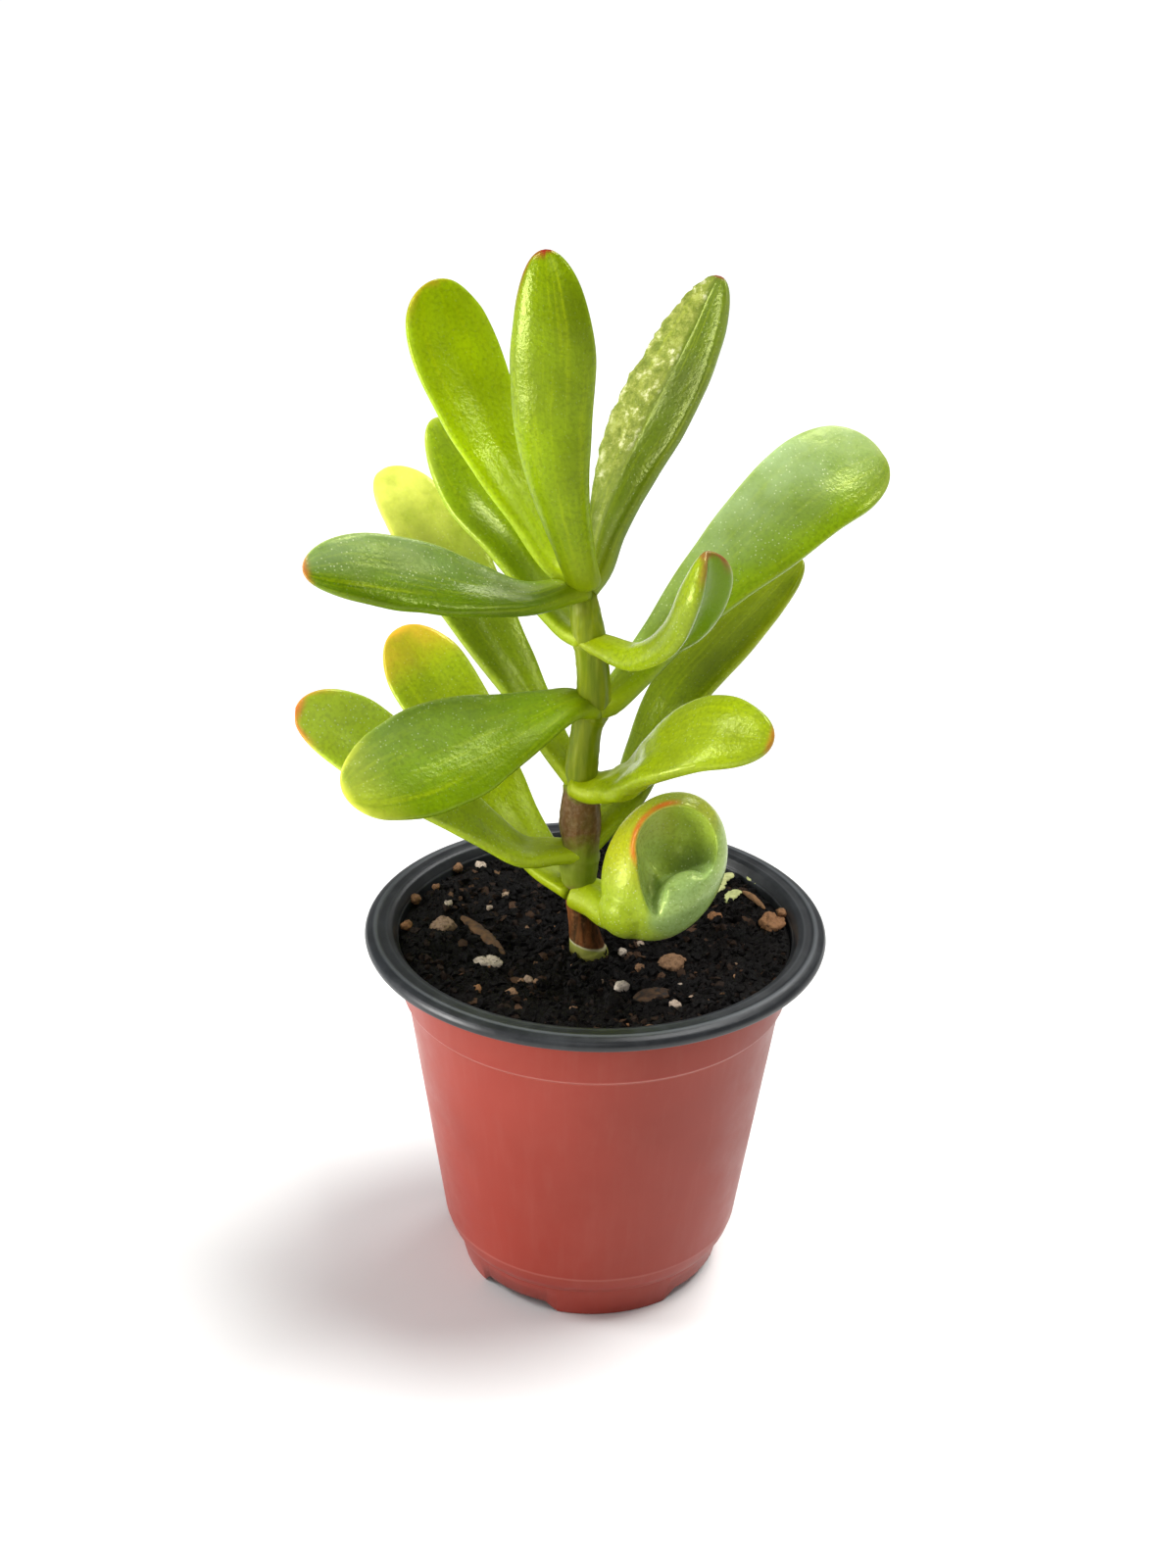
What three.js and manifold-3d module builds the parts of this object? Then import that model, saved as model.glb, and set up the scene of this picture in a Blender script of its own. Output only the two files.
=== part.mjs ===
// A young jade plant with long curled leaves, in its thin plastic nursery pot.
// Millimetres and degrees, +Z up. The origin is on the pot's axis, in the plane that the pot stands on.
// The front of the plant looks along -Y. Headings are measured from +X towards +Y.
import * as THREE from "three";
import { mergeVertices } from "three/addons/utils/BufferGeometryUtils.js";
import Module from "manifold-3d";

const wasm = await Module();
wasm.setup();

const UP = new THREE.Vector3(0, 0, 1);
const GAP = 0.3; // clear space between two pieces that touch on the real plant

// The pot: a thin moulded shell with a turned-down lip, a step under it and a notched foot.
const POT = {
  rimRadius: 52.5,
  rimHeight: 88,
  ridgeRadius: 50.3,
  mouthRadius: 46.6,
  skirtDrop: 2.9,
  lipThickness: 1.3,
  wall: 1,
  bandTopRadius: 45.4,
  bandBottomRadius: 44.2,
  stepHeight: 71.4,
  stepDepth: 1.1,
  cornerRadius: 34.7,
  cornerHeight: 13.2,
  footRadius: 32.1,
  footHeight: 8.2,
  soleRadius: 30,
  floorHeight: 4,
  facets: 44,
};
const FOOT_NOTCH = { count: 4, heading: -33.6, width: 21, lift: 3, slope: 2.5, depth: 9 };
const DRAIN_HOLE = { radius: 3.5, ring: 21, facets: 16 };

// The soil plug: its top is a shallow dish under the lip, with crumbs raised from it.
const SOIL = { top: 79.5, edgeRise: 4.3, flatRadius: 18, margin: 4, rings: 12 };
const CRUMB = { height: 1.7, least: 0.3, pitch: 6.3, reach: 4.7, stray: 0.6 };

// The stem: its axis and radius at each height, from its buried end to the growing tip.
const STEM = [
  { x: -1.0, y: -2.2, z: 50, radius: 3.4 },
  { x: -1.3, y: -2.2, z: 72, radius: 3.8 },
  { x: -1.4, y: -2.0, z: 79.5, radius: 4.6 },
  { x: -1.9, y: -1.8, z: 82.2, radius: 3.9 },
  { x: -3.0, y: -1.6, z: 88.5, radius: 3.1 },
  { x: -3.9, y: -1.5, z: 94.5, radius: 3.1 },
  { x: -4.0, y: -1.5, z: 99, radius: 3.9 },
  { x: -4.0, y: -1.5, z: 103.5, radius: 4.4 },
  { x: -3.6, y: -1.5, z: 108.4, radius: 4.2 },
  { x: -3.9, y: -1.5, z: 113.3, radius: 4.7 },
  { x: -3.9, y: -1.5, z: 118.5, radius: 4.3 },
  { x: -3.9, y: -1.5, z: 123, radius: 3.7 },
  { x: -3.8, y: -1.5, z: 127.7, radius: 3.7 },
  { x: -2.9, y: -1.2, z: 136, radius: 3.4 },
  { x: -1.6, y: -0.9, z: 142, radius: 3.9 },
  { x: -1.6, y: -0.7, z: 148.4, radius: 3.6 },
  { x: -2.4, y: -0.5, z: 156.2, radius: 3.6 },
  { x: -3.4, y: -0.5, z: 162, radius: 3.4 },
  { x: -3.9, y: -0.5, z: 167, radius: 2.7 },
  { x: -4.2, y: -0.5, z: 171, radius: 1.6 },
];
const STEM_FACETS = 14;

// Where each pair of leaves leaves the stem.
const NODES = {
  a: new THREE.Vector3(-4.0, -1.5, 97),
  b: new THREE.Vector3(-3.8, -1.5, 106.5),
  c: new THREE.Vector3(-3.9, -1.5, 123.5),
  d: new THREE.Vector3(-1.8, -0.9, 141.5),
  e: new THREE.Vector3(-2.6, -0.5, 157),
  f: new THREE.Vector3(-3.9, -0.5, 169),
  g: new THREE.Vector3(-4.2, -0.5, 170.5),
};

// The leaves, one entry each. heading: the compass bearing it leaves the stem on. route: its middle line
// as [outward, leftward, upward] from its node. neck, broad: its width at the stem and at its broadest,
// which is broadAt of the way along. thick: its thickness. curl: how far its two edges turn up towards
// each other, and roll: how far it turns about its middle line, at the stem, midway and at the tip.
const LEAVES = [
  {
    name: "leaf_a_front",
    node: "a",
    heading: 325,
    cupped: true,
    route: [[5.5, 0, -0.5], [11, 0, -1.5], [17, 0, 2], [21, 0, 10]],
    neck: 8.5, broad: 14, broadAt: 0.6, thick: 8, curl: [60, 60, 60], roll: [0, 0, 0],
  },
  {
    name: "leaf_a_back",
    node: "a",
    heading: 140,
    route: [[10, 0, 3], [19.5, 0, 10], [31, 0, 22], [41, 0, 33.5], [56.5, 0, 47.5]],
    neck: 10, broad: 20, broadAt: 0.75, thick: 4.5, curl: [20, 30, 20], roll: [0, -20, -30],
  },
  {
    name: "leaf_b_front",
    node: "b",
    heading: 195,
    route: [[6, 0, 0.5], [14, 0, 1.5], [24.5, 0, 10], [39.5, 0, 23.5], [51.5, 0, 34], [62.5, 0, 40.5]],
    neck: 8, broad: 17.5, broadAt: 0.75, thick: 4.5, curl: [40, 60, 20], roll: [0, -50, -60],
  },
  {
    name: "leaf_b_back",
    node: "b",
    heading: 38,
    route: [[13, 0, 10], [18, 0, 18.5], [26, 0, 30.5], [38, 0, 40], [51, 0, 49], [62, 0, 56.5]],
    neck: 7, broad: 18, broadAt: 0.6, thick: 4.5, curl: [20, 20, 20], roll: [0, 0, 0],
  },
  {
    name: "leaf_c_front",
    node: "c",
    heading: 325,
    route: [[4, 0, 0], [12, 0, 4], [21, 0, 13], [33, 0, 20.5], [48.5, 0, 23.5]],
    neck: 10, broad: 19, broadAt: 0.55, thick: 5.6, curl: [40, 40, 20], roll: [0, 40, 50],
  },
  {
    name: "leaf_c_back",
    node: "c",
    heading: 140,
    route: [[7, 0, 6], [15, 0, 15], [28.5, 0, 29], [40.5, 0, 42.5], [52.5, 0, 53], [61, 0, 58]],
    neck: 7, broad: 18, broadAt: 0.7, thick: 4.5, curl: [30, 40, 30], roll: [0, -20, -30],
  },
  {
    name: "leaf_d_front",
    node: "d",
    heading: 216,
    route: [[5, 0, 2], [12, 0, 1.5], [26.5, 0, -0.5], [41.5, 0, -2.5], [53.5, 0, -4.3], [62.3, 0, -4.8]],
    neck: 8, broad: 24, broadAt: 0.62, thick: 5, curl: [20, 20, 20], roll: [-10, -50, -40],
  },
  {
    name: "leaf_d_back",
    node: "d",
    heading: 32,
    route: [[5, 0, 1], [15.5, 0, 10], [28, 0, 21.2], [43.5, 0, 32.5], [58.5, 0, 42], [75.5, 0, 46]],
    neck: 8, broad: 24, broadAt: 0.8, thick: 5, curl: [30, 30, 20], roll: [0, 40, 40],
  },
  {
    name: "leaf_e_front",
    node: "e",
    heading: 318,
    route: [[4, 0, 0], [13.5, 0, 1], [23, 0, 9], [28.5, 0, 20.5], [31.5, 0, 28]],
    neck: 7, broad: 19, broadAt: 0.75, thick: 5, curl: [-60, -230, -150], roll: [0, -10, -10],
  },
  {
    name: "leaf_e_back",
    node: "e",
    heading: 140,
    route: [[6, 0, 1.5], [13.5, 0, 7.5], [23.5, 0, 17.5], [35, 0, 26], [46, 0, 39.5]],
    neck: 7, broad: 15, broadAt: 0.6, thick: 4.5, curl: [30, 40, 30], roll: [0, -20, -30],
  },
  {
    name: "leaf_f_front",
    node: "f",
    heading: 207,
    route: [[5, 0, -0.2], [14.5, 0, -0.3], [28, 0, 4], [41, 0, 8.6], [53.5, 0, 12], [63, 0, 13]],
    neck: 7, broad: 17.2, broadAt: 0.6, thick: 5, curl: [30, 40, 30], roll: [0, -50, -50],
  },
  {
    name: "leaf_f_back",
    node: "f",
    heading: 38,
    route: [[3.5, 0, 4], [6, 0, 12.5], [12, 0, 25], [21.3, 0, 39], [29, 0, 51.5], [34.6, 0, 62]],
    blunt: 2, neck: 6.5, broad: 20, broadAt: 0.55, thick: 5, curl: [30, 50, 50], roll: [0, 10, 10],
  },
  {
    name: "leaf_g_front",
    node: "g",
    heading: 270,
    route: [[3.5, 0, 2], [5.5, -2, 9], [7, -5.5, 24], [7, -7, 39], [7, -7, 54], [6, -8.5, 71.5]],
    blunt: 2, neck: 7, broad: 18, broadAt: 0.66, thick: 4.5, curl: [50, 60, 30], roll: [0, 0, 0],
  },
  {
    name: "leaf_g_back",
    node: "g",
    heading: 145,
    route: [[6.5, 0, 2], [13.5, 0, 10], [23.5, 0, 24], [31.8, 0, 38], [37.6, 0, 50], [39, 0, 58.5]],
    neck: 7, broad: 20.4, broadAt: 0.75, thick: 4.5, curl: [30, 30, 20], roll: [0, -20, -30],
  },
];

// What lies loose on the soil. Stones: place, half-sizes and turn. Strips: both ends, width and thickness.
const STONES = [
  { name: "stone_front", x: 17.4, y: -6.8, half: [3.2, 2.7, 2.3], turn: 30 },
  { name: "stone_right", x: 40.6, y: 5.6, half: [2.9, 3.2, 2.4], turn: -20 },
  { name: "stone_left", x: -35.2, y: 3.6, half: [3.1, 2.4, 2.1], turn: 15 },
  { name: "stone_pale", x: -24.1, y: -8.6, half: [3.4, 1.9, 1.6], turn: 10 },
];
const STONE = { detail: 2, lump: 0.13, ripple: 0.08, sunk: 0.45 };
const STRIPS = [
  { name: "bark_sliver", from: [-31.4, 9.6], to: [-20.6, -4.2], width: 3.4, thick: 1.2, facets: 8 },
  { name: "bark_flat", from: [8.6, -24.6], to: [17.4, -22], width: 5.2, thick: 1.4, facets: 8 },
  { name: "twig", from: [34.5, 21.5], to: [39.5, 12.6], width: 1.5, thick: 1.4, facets: 6 },
];
const STRIP = { rings: 7, taper: 0.45, arch: 0.5 };

// The blade of the lowest front leaf is rolled into a cup. Its body and the hollows in it are ovals, each
// with its offset from the cup's centre, its half-sizes (to the right, backward and up) and its lean.
const CUP = {
  centre: [14.7, -16.5, 110.7],
  pitch: 25.4,
  segments: [18, 10],
  bodies: [
    { at: [0, 0, 0], half: [12.9, 10.5, 17], lean: 25 },
    { at: [-7.4, 0.5, -9.6], half: [6.8, 8, 6.4], lean: 0 },
  ],
  hollows: [
    { at: [2.5, -8, 4.4], half: [8.7, 10, 9], lean: 10 },
    { at: [-2.9, -9, -1.6], half: [2.7, 7.5, 9.2], lean: -10 },
  ],
};

// What all leaves share: rings along the middle line, closer towards the tip, and points around each.
// blunt: how square the tip is. topShare: how much of the thickness is above the middle surface.
const LEAF = {
  rings: 17, section: 12, crowd: 1.45, tangentTension: 0.5, blunt: 2.4,
  thinFrom: 0.75, thinPower: 2.5, edgePower: 0.8, topShare: 0.8, bottomShare: 1.2, curlRoom: 0.85,
};

const COLOURS = {
  pot: { color: 0xa04438, roughness: 0.45 },
  soil: { color: 0x1a1512, roughness: 0.95 },
  stem: { color: 0x7c8240, roughness: 0.6 },
  leaf: { color: 0x7fa02c, roughness: 0.4 },
  stone: { color: 0xb99f86, roughness: 0.8 },
  bark: { color: 0x4a2f1c, roughness: 0.8 },
};

// The solid of a closed three.js geometry.
function solidOf(geometry) {
  const bare = geometry.clone();
  bare.deleteAttribute("normal");
  bare.deleteAttribute("uv");
  const merged = mergeVertices(bare, 1e-4);
  return new wasm.Manifold(
    new wasm.Mesh({
      numProp: 3,
      vertProperties: new Float32Array(merged.attributes.position.array),
      triVerts: new Uint32Array(merged.index.array),
    }),
  );
}

// The three.js geometry of a solid.
function geometryOf(solid) {
  const mesh = solid.getMesh();
  const geometry = new THREE.BufferGeometry();
  geometry.setAttribute("position", new THREE.BufferAttribute(mesh.vertProperties, 3));
  geometry.setIndex(new THREE.BufferAttribute(mesh.triVerts, 1));
  geometry.computeVertexNormals();
  return geometry;
}

// The largest body of a solid: a cut can leave scraps beside it.
function largestBody(solid) {
  return solid.decompose().reduce((a, b) => (a.volume() > b.volume() ? a : b));
}

function piece(name, solid, look) {
  const mesh = new THREE.Mesh(geometryOf(solid), new THREE.MeshStandardMaterial({ ...look, metalness: 0 }));
  mesh.name = name;
  return mesh;
}

// A closed skin over rings of points, with a centre point at each end.
function loft(rings, start, end) {
  const count = rings[0].length;
  const points = [start, ...rings.flat(), end];
  const last = points.length - 1;
  const index = [];
  for (let k = 0; k < count; k++) {
    const next = (k + 1) % count;
    index.push(0, 1 + next, 1 + k);
    for (let r = 0; r + 1 < rings.length; r++) {
      const low = 1 + r * count;
      const high = low + count;
      index.push(low + k, low + next, high + next);
      index.push(low + k, high + next, high + k);
    }
    index.push(last, last - count + k, last - count + next);
  }
  const geometry = new THREE.BufferGeometry().setFromPoints(points);
  geometry.setIndex(index);
  return geometry;
}

function smooth(x) {
  const t = THREE.MathUtils.clamp(x, 0, 1);
  return t * t * (3 - 2 * t);
}

// A value that goes from its first to its last entry, drawn towards the middle one on the way.
function swept([first, middle, last], t) {
  return (1 - t) * (1 - t) * first + 2 * t * (1 - t) * middle + t * t * last;
}

// A profile of [radius, height] turned about the Z axis.
function turned(profile, facets) {
  const points = profile.map(([r, z]) => new THREE.Vector2(r, z));
  return new THREE.LatheGeometry(points, facets).rotateX(Math.PI / 2);
}

// The pot's wall outside, from the foot up to the lip, as [radius, height].
function potOutside() {
  const p = POT;
  const stepRadius = p.bandBottomRadius - p.stepDepth;
  return [
    [p.soleRadius, 0],
    [p.footRadius, p.footHeight],
    [p.footRadius + 0.5, p.footHeight + 0.3],
    [p.footRadius + 1.6, p.footHeight + 2],
    [p.cornerRadius, p.cornerHeight],
    [stepRadius, p.stepHeight],
    [p.bandBottomRadius, p.stepHeight + 0.8],
    [p.bandTopRadius, p.rimHeight - 2.4],
  ];
}

// The inside of the wall, from the floor up to the mouth. The soil plug follows it.
function potInside() {
  const p = POT;
  const flare = (p.footRadius - p.soleRadius) / p.footHeight;
  const floorRadius = p.soleRadius + flare * (p.floorHeight + p.wall);
  const stepRadius = p.bandBottomRadius - p.stepDepth;
  return [
    [floorRadius - p.wall, p.floorHeight + p.wall],
    [p.footRadius - p.wall, p.footHeight + 0.2],
    [p.footRadius + 1.5 - p.wall, p.footHeight + 2.2],
    [p.cornerRadius - p.wall, p.cornerHeight + 0.2],
    [stepRadius - p.wall, p.stepHeight + 0.2],
    [p.bandBottomRadius - p.wall, p.stepHeight + 1],
    [p.mouthRadius - 1.5, p.rimHeight - 2.2],
    [p.mouthRadius - 0.4, p.rimHeight - 0.5],
  ];
}

function potSolid() {
  const p = POT;
  const lip = [
    [p.mouthRadius + 0.6, p.rimHeight - p.lipThickness],
    [p.ridgeRadius, p.rimHeight - p.lipThickness],
    [p.rimRadius - 1.1, p.rimHeight - 1.9],
    [p.rimRadius - 1.2, p.rimHeight - p.skirtDrop],
    [p.rimRadius - 0.3, p.rimHeight - p.skirtDrop],
    [p.rimRadius, p.rimHeight - 1.7],
    [p.rimRadius - 0.5, p.rimHeight - 0.7],
    [p.ridgeRadius + 0.5, p.rimHeight - 0.15],
    [p.ridgeRadius - 0.4, p.rimHeight],
    [p.mouthRadius + 0.7, p.rimHeight],
  ];
  const under = [
    [0, p.floorHeight],
    [p.soleRadius - p.wall, p.floorHeight],
    [p.soleRadius - p.wall - 0.2, 0],
  ];
  const inside = potInside().reverse();
  const floorTop = [[0, p.floorHeight + p.wall]];
  const profile = [...under, ...potOutside(), ...lip, ...inside, ...floorTop];
  let solid = solidOf(turned(profile, p.facets));
  for (const cut of [...footNotches(), ...drainHoles()]) solid = solid.subtract(cut);
  return solid;
}

// Sloping notches in the foot ring that let water out from under the pot.
function footNotches() {
  const n = FOOT_NOTCH;
  const outline = new THREE.Shape();
  outline.moveTo(-n.width / 2 - 1, -1);
  outline.lineTo(n.width / 2 + 1, -1);
  outline.lineTo(n.width / 2, 0);
  outline.lineTo(n.width / 2 - n.slope, n.lift);
  outline.lineTo(-n.width / 2 + n.slope, n.lift);
  outline.lineTo(-n.width / 2, 0);
  return Array.from({ length: n.count }, (_, i) => {
    const wedge = new THREE.ExtrudeGeometry(outline, { depth: n.depth, bevelEnabled: false });
    wedge.rotateX(Math.PI / 2).rotateZ(Math.PI / 2);
    wedge.translate(POT.soleRadius - n.depth + 4, 0, 0);
    wedge.rotateZ(THREE.MathUtils.degToRad(n.heading + (360 / n.count) * i));
    return solidOf(wedge);
  });
}

function drainHoles() {
  const h = DRAIN_HOLE;
  return Array.from({ length: FOOT_NOTCH.count + 1 }, (_, i) => {
    const bore = new THREE.CylinderGeometry(h.radius, h.radius, POT.wall * 4, h.facets);
    bore.rotateX(Math.PI / 2);
    bore.translate(i < FOOT_NOTCH.count ? h.ring : 0, 0, POT.floorHeight + POT.wall / 2);
    bore.rotateZ(THREE.MathUtils.degToRad(FOOT_NOTCH.heading + (360 / FOOT_NOTCH.count) * i));
    return solidOf(bore);
  });
}

// A repeatable value from 0 to 1 for a cell of a grid.
function cellValue(i, j) {
  const wave = Math.sin(i * 127.1 + j * 311.7) * 43758.5453;
  return wave - Math.floor(wave);
}

// The height of the crumbs over the soil's level: one rounded lump in each cell of a grid.
function crumbHeight(x, y) {
  const c = CRUMB;
  const i = Math.floor(x / c.pitch);
  const j = Math.floor(y / c.pitch);
  const inset = (1 - c.stray) / 2;
  let height = 0;
  for (const di of [-1, 0, 1]) {
    for (const dj of [-1, 0, 1]) {
      const cx = (i + di + inset + c.stray * cellValue(i + di, j + dj)) * c.pitch;
      const cy = (j + dj + inset + c.stray * cellValue(j + dj, i + di + 57)) * c.pitch;
      const away = Math.hypot(x - cx, y - cy) / c.reach;
      const tall = c.height * (c.least + cellValue(i + di + 19, j + dj));
      height = Math.max(height, tall * Math.sqrt(Math.max(0, 1 - away * away)));
    }
  }
  return height;
}

// The level of the soil without its crumbs.
function soilLevel(x, y) {
  const outward = (Math.hypot(x, y) - SOIL.flatRadius) / (POT.bandTopRadius - SOIL.flatRadius);
  return SOIL.top + SOIL.edgeRise * smooth(outward);
}

function soilSolid() {
  const rim = SOIL.top + SOIL.edgeRise;
  const base = POT.floorHeight + POT.wall + GAP;
  const wall = potInside().filter(([, z]) => z < rim);
  const [lowRadius, lowHeight] = wall.at(-1);
  const [highRadius, highHeight] = potInside().find(([, z]) => z >= rim);
  const share = (rim - lowHeight) / (highHeight - lowHeight);
  const edge = lowRadius + share * (highRadius - lowRadius) - GAP;
  const side = wall.map(([r, z]) => [r - GAP, Math.max(z, base)]);
  const rings = Array.from({ length: SOIL.rings }, (_, i) => [edge * (1 - i / SOIL.rings), rim]);
  const body = turned([[0, base], ...side, ...rings, [0, rim]], POT.facets);
  const spot = body.attributes.position;
  for (let i = 0; i < spot.count; i++) {
    if (spot.getZ(i) < rim - 0.01) continue;
    const x = spot.getX(i);
    const y = spot.getY(i);
    const height = crumbHeight(x, y) * smooth((edge - Math.hypot(x, y)) / SOIL.margin);
    spot.setZ(i, soilLevel(x, y) + height);
  }
  let solid = solidOf(body).subtract(stemSolid(GAP));
  for (const stone of STONES) solid = solid.subtract(stoneSolid(stone, GAP));
  for (const strip of STRIPS) solid = solid.subtract(stripSolid(strip, GAP));
  return largestBody(solid);
}

// One lumpy stone, half sunk in the soil.
function stoneSolid(stone, grow = 0) {
  const body = new THREE.IcosahedronGeometry(1, STONE.detail);
  const spot = body.attributes.position;
  for (let i = 0; i < spot.count; i++) {
    const v = new THREE.Vector3().fromBufferAttribute(spot, i);
    const wave = Math.sin(3.3 * v.x + stone.x) * Math.cos(2.9 * v.y + stone.y);
    const lump = 1 + STONE.lump * wave + STONE.ripple * Math.sin(4.1 * v.z);
    const [long, wide, tall] = stone.half;
    spot.setXYZ(i, v.x * (lump * long + grow), v.y * (lump * wide + grow), v.z * (lump * tall + grow));
  }
  body.rotateZ(THREE.MathUtils.degToRad(stone.turn));
  body.translate(stone.x, stone.y, soilLevel(stone.x, stone.y) + STONE.sunk * stone.half[2]);
  return solidOf(body);
}

// One flat or round strip of plant matter that lies on the soil, thinner towards both ends.
function stripSolid(strip, grow = 0) {
  const from = new THREE.Vector3(...strip.from, soilLevel(...strip.from) + strip.thick);
  const to = new THREE.Vector3(...strip.to, soilLevel(...strip.to) + strip.thick);
  const ahead = to.clone().sub(from).normalize();
  const side = new THREE.Vector3().crossVectors(UP, ahead);
  const rings = Array.from({ length: STRIP.rings }, (_, r) => {
    const along = (r + 0.5) / STRIP.rings;
    const full = Math.sin(Math.PI * along) ** STRIP.taper;
    const centre = from.clone().lerp(to, along).addScaledVector(UP, STRIP.arch * Math.sin(Math.PI * along));
    return Array.from({ length: strip.facets }, (_, k) => {
      const turn = (2 * Math.PI * (k + 0.5)) / strip.facets;
      const across = ((strip.width * full) / 2 + grow) * Math.cos(turn);
      const up = ((strip.thick * full) / 2 + grow) * Math.sin(turn);
      return centre.clone().addScaledVector(side, across).addScaledVector(UP, up);
    });
  });
  return solidOf(loft(rings, from.addScaledVector(ahead, -grow), to.addScaledVector(ahead, grow)));
}

function stemSolid(grow = 0) {
  const line = new THREE.CatmullRomCurve3(STEM.map((s) => new THREE.Vector3(s.x, s.y, s.z)));
  const rings = STEM.map((s, i) => {
    const ahead = line.getTangent(i / (STEM.length - 1));
    const side = new THREE.Vector3(1, 0, 0).addScaledVector(ahead, -ahead.x).normalize();
    const back = new THREE.Vector3().crossVectors(ahead, side);
    const centre = new THREE.Vector3(s.x, s.y, s.z);
    return Array.from({ length: STEM_FACETS }, (_, k) => {
      const turn = (2 * Math.PI * k) / STEM_FACETS;
      const point = centre.clone().addScaledVector(side, (s.radius + grow) * Math.cos(turn));
      return point.addScaledVector(back, (s.radius + grow) * Math.sin(turn));
    });
  });
  const foot = new THREE.Vector3(STEM[0].x, STEM[0].y, STEM[0].z - 1 - grow);
  const crown = STEM.at(-1);
  return solidOf(loft(rings, foot, new THREE.Vector3(crown.x, crown.y, crown.z + crown.radius + grow)));
}

// One leaf: rounded sections strung along its middle line, each bent towards the leaf's upper face.
function leafSolid(leaf, grow = 0) {
  const turn = THREE.MathUtils.degToRad(leaf.heading);
  const out = new THREE.Vector3(Math.cos(turn), Math.sin(turn), 0);
  const left = new THREE.Vector3(-Math.sin(turn), Math.cos(turn), 0);
  const root = NODES[leaf.node];
  const stops = leaf.route.map(([o, l, u]) =>
    root.clone().addScaledVector(out, o).addScaledVector(left, l).addScaledVector(UP, u),
  );
  const line = new THREE.CatmullRomCurve3([root, ...stops], false, "catmullrom", LEAF.tangentTension);
  const face = new THREE.Vector3();
  const rings = [];
  let before = line.getTangentAt(0);
  face.copy(UP).addScaledVector(before, -before.z).normalize();
  for (let r = 0; r < LEAF.rings; r++) {
    const along = 1 - (1 - r / LEAF.rings) ** LEAF.crowd;
    const ahead = line.getTangentAt(along);
    face.applyQuaternion(new THREE.Quaternion().setFromUnitVectors(before, ahead));
    before = ahead;
    const rolled = face.clone().applyAxisAngle(ahead, THREE.MathUtils.degToRad(swept(leaf.roll, along)));
    const across = new THREE.Vector3().crossVectors(rolled, ahead);
    rings.push(leafSection(leaf, line.getPointAt(along), across, rolled, along, grow));
  }
  const tip = line.getPointAt(1).addScaledVector(before, grow);
  const blade = solidOf(loft(rings, line.getPointAt(0), tip));
  return leaf.cupped ? cupSolid(blade, grow) : blade;
}

// One oval of the cup, with its long axis leaning to the right and its front tipped up.
function oval({ at, half, lean }, grow) {
  const body = new THREE.SphereGeometry(1, ...CUP.segments).rotateX(Math.PI / 2);
  body.scale(half[0] + grow, half[1] + grow, half[2] + grow).rotateY(THREE.MathUtils.degToRad(lean));
  body.translate(...at).rotateX(THREE.MathUtils.degToRad(-CUP.pitch)).translate(...CUP.centre);
  return solidOf(body);
}

// The cup on its stalk.
function cupSolid(stalk, grow) {
  let solid = stalk;
  for (const body of CUP.bodies) solid = solid.add(oval(body, grow));
  for (const hollow of CUP.hollows) solid = solid.subtract(oval(hollow, -grow));
  return solid;
}

// One section of a leaf: a flattened ring, bent about an axis over or under its face.
function leafSection(leaf, centre, across, face, along, grow) {
  const closing = THREE.MathUtils.clamp((along - leaf.broadAt) / (1 - leaf.broadAt), 0, 1);
  const spread = leaf.neck + (leaf.broad - leaf.neck) * smooth(along / leaf.broadAt);
  const width = spread * Math.sqrt(1 - closing ** (leaf.blunt ?? LEAF.blunt)) + 2 * grow;
  const thinning = THREE.MathUtils.clamp((along - LEAF.thinFrom) / (1 - LEAF.thinFrom), 0, 1);
  const depth = (leaf.thick * Math.sqrt(1 - thinning ** LEAF.thinPower) + 2 * grow) / 2;
  const bendRadius = width / THREE.MathUtils.degToRad(swept(leaf.curl, along));
  return Array.from({ length: LEAF.section }, (_, k) => {
    const turn = (2 * Math.PI * k) / LEAF.section;
    const angle = ((Math.cos(turn) * width) / 2) / bendRadius;
    const rise = Math.sign(Math.sin(turn)) * Math.abs(Math.sin(turn)) ** LEAF.edgePower;
    const share = rise > 0 ? LEAF.topShare : LEAF.bottomShare;
    const room = LEAF.curlRoom * Math.abs(bendRadius);
    const off = THREE.MathUtils.clamp(depth * rise * share, -room, room);
    const point = centre.clone().addScaledVector(across, (bendRadius - off) * Math.sin(angle));
    return point.addScaledVector(face, bendRadius - (bendRadius - off) * Math.cos(angle));
  });
}

const plant = new THREE.Group();
plant.add(piece("pot", potSolid(), COLOURS.pot));
plant.add(piece("soil", soilSolid(), COLOURS.soil));
plant.add(piece("stem", stemSolid(), COLOURS.stem));

for (const stone of STONES) plant.add(piece(stone.name, stoneSolid(stone), COLOURS.stone));
for (const strip of STRIPS) plant.add(piece(strip.name, stripSolid(strip), COLOURS.bark));

const stemRoom = stemSolid(GAP);
const placed = [];
for (const leaf of LEAVES) {
  let solid = leafSolid(leaf).subtract(stemRoom);
  for (const neighbour of placed) {
    if (neighbour.node >= String.fromCharCode(leaf.node.charCodeAt(0) - 1)) {
      solid = solid.subtract(leafSolid(neighbour, GAP));
    }
  }
  placed.push(leaf);
  plant.add(piece(leaf.name, largestBody(solid), COLOURS.leaf));
}

export default plant;
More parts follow.
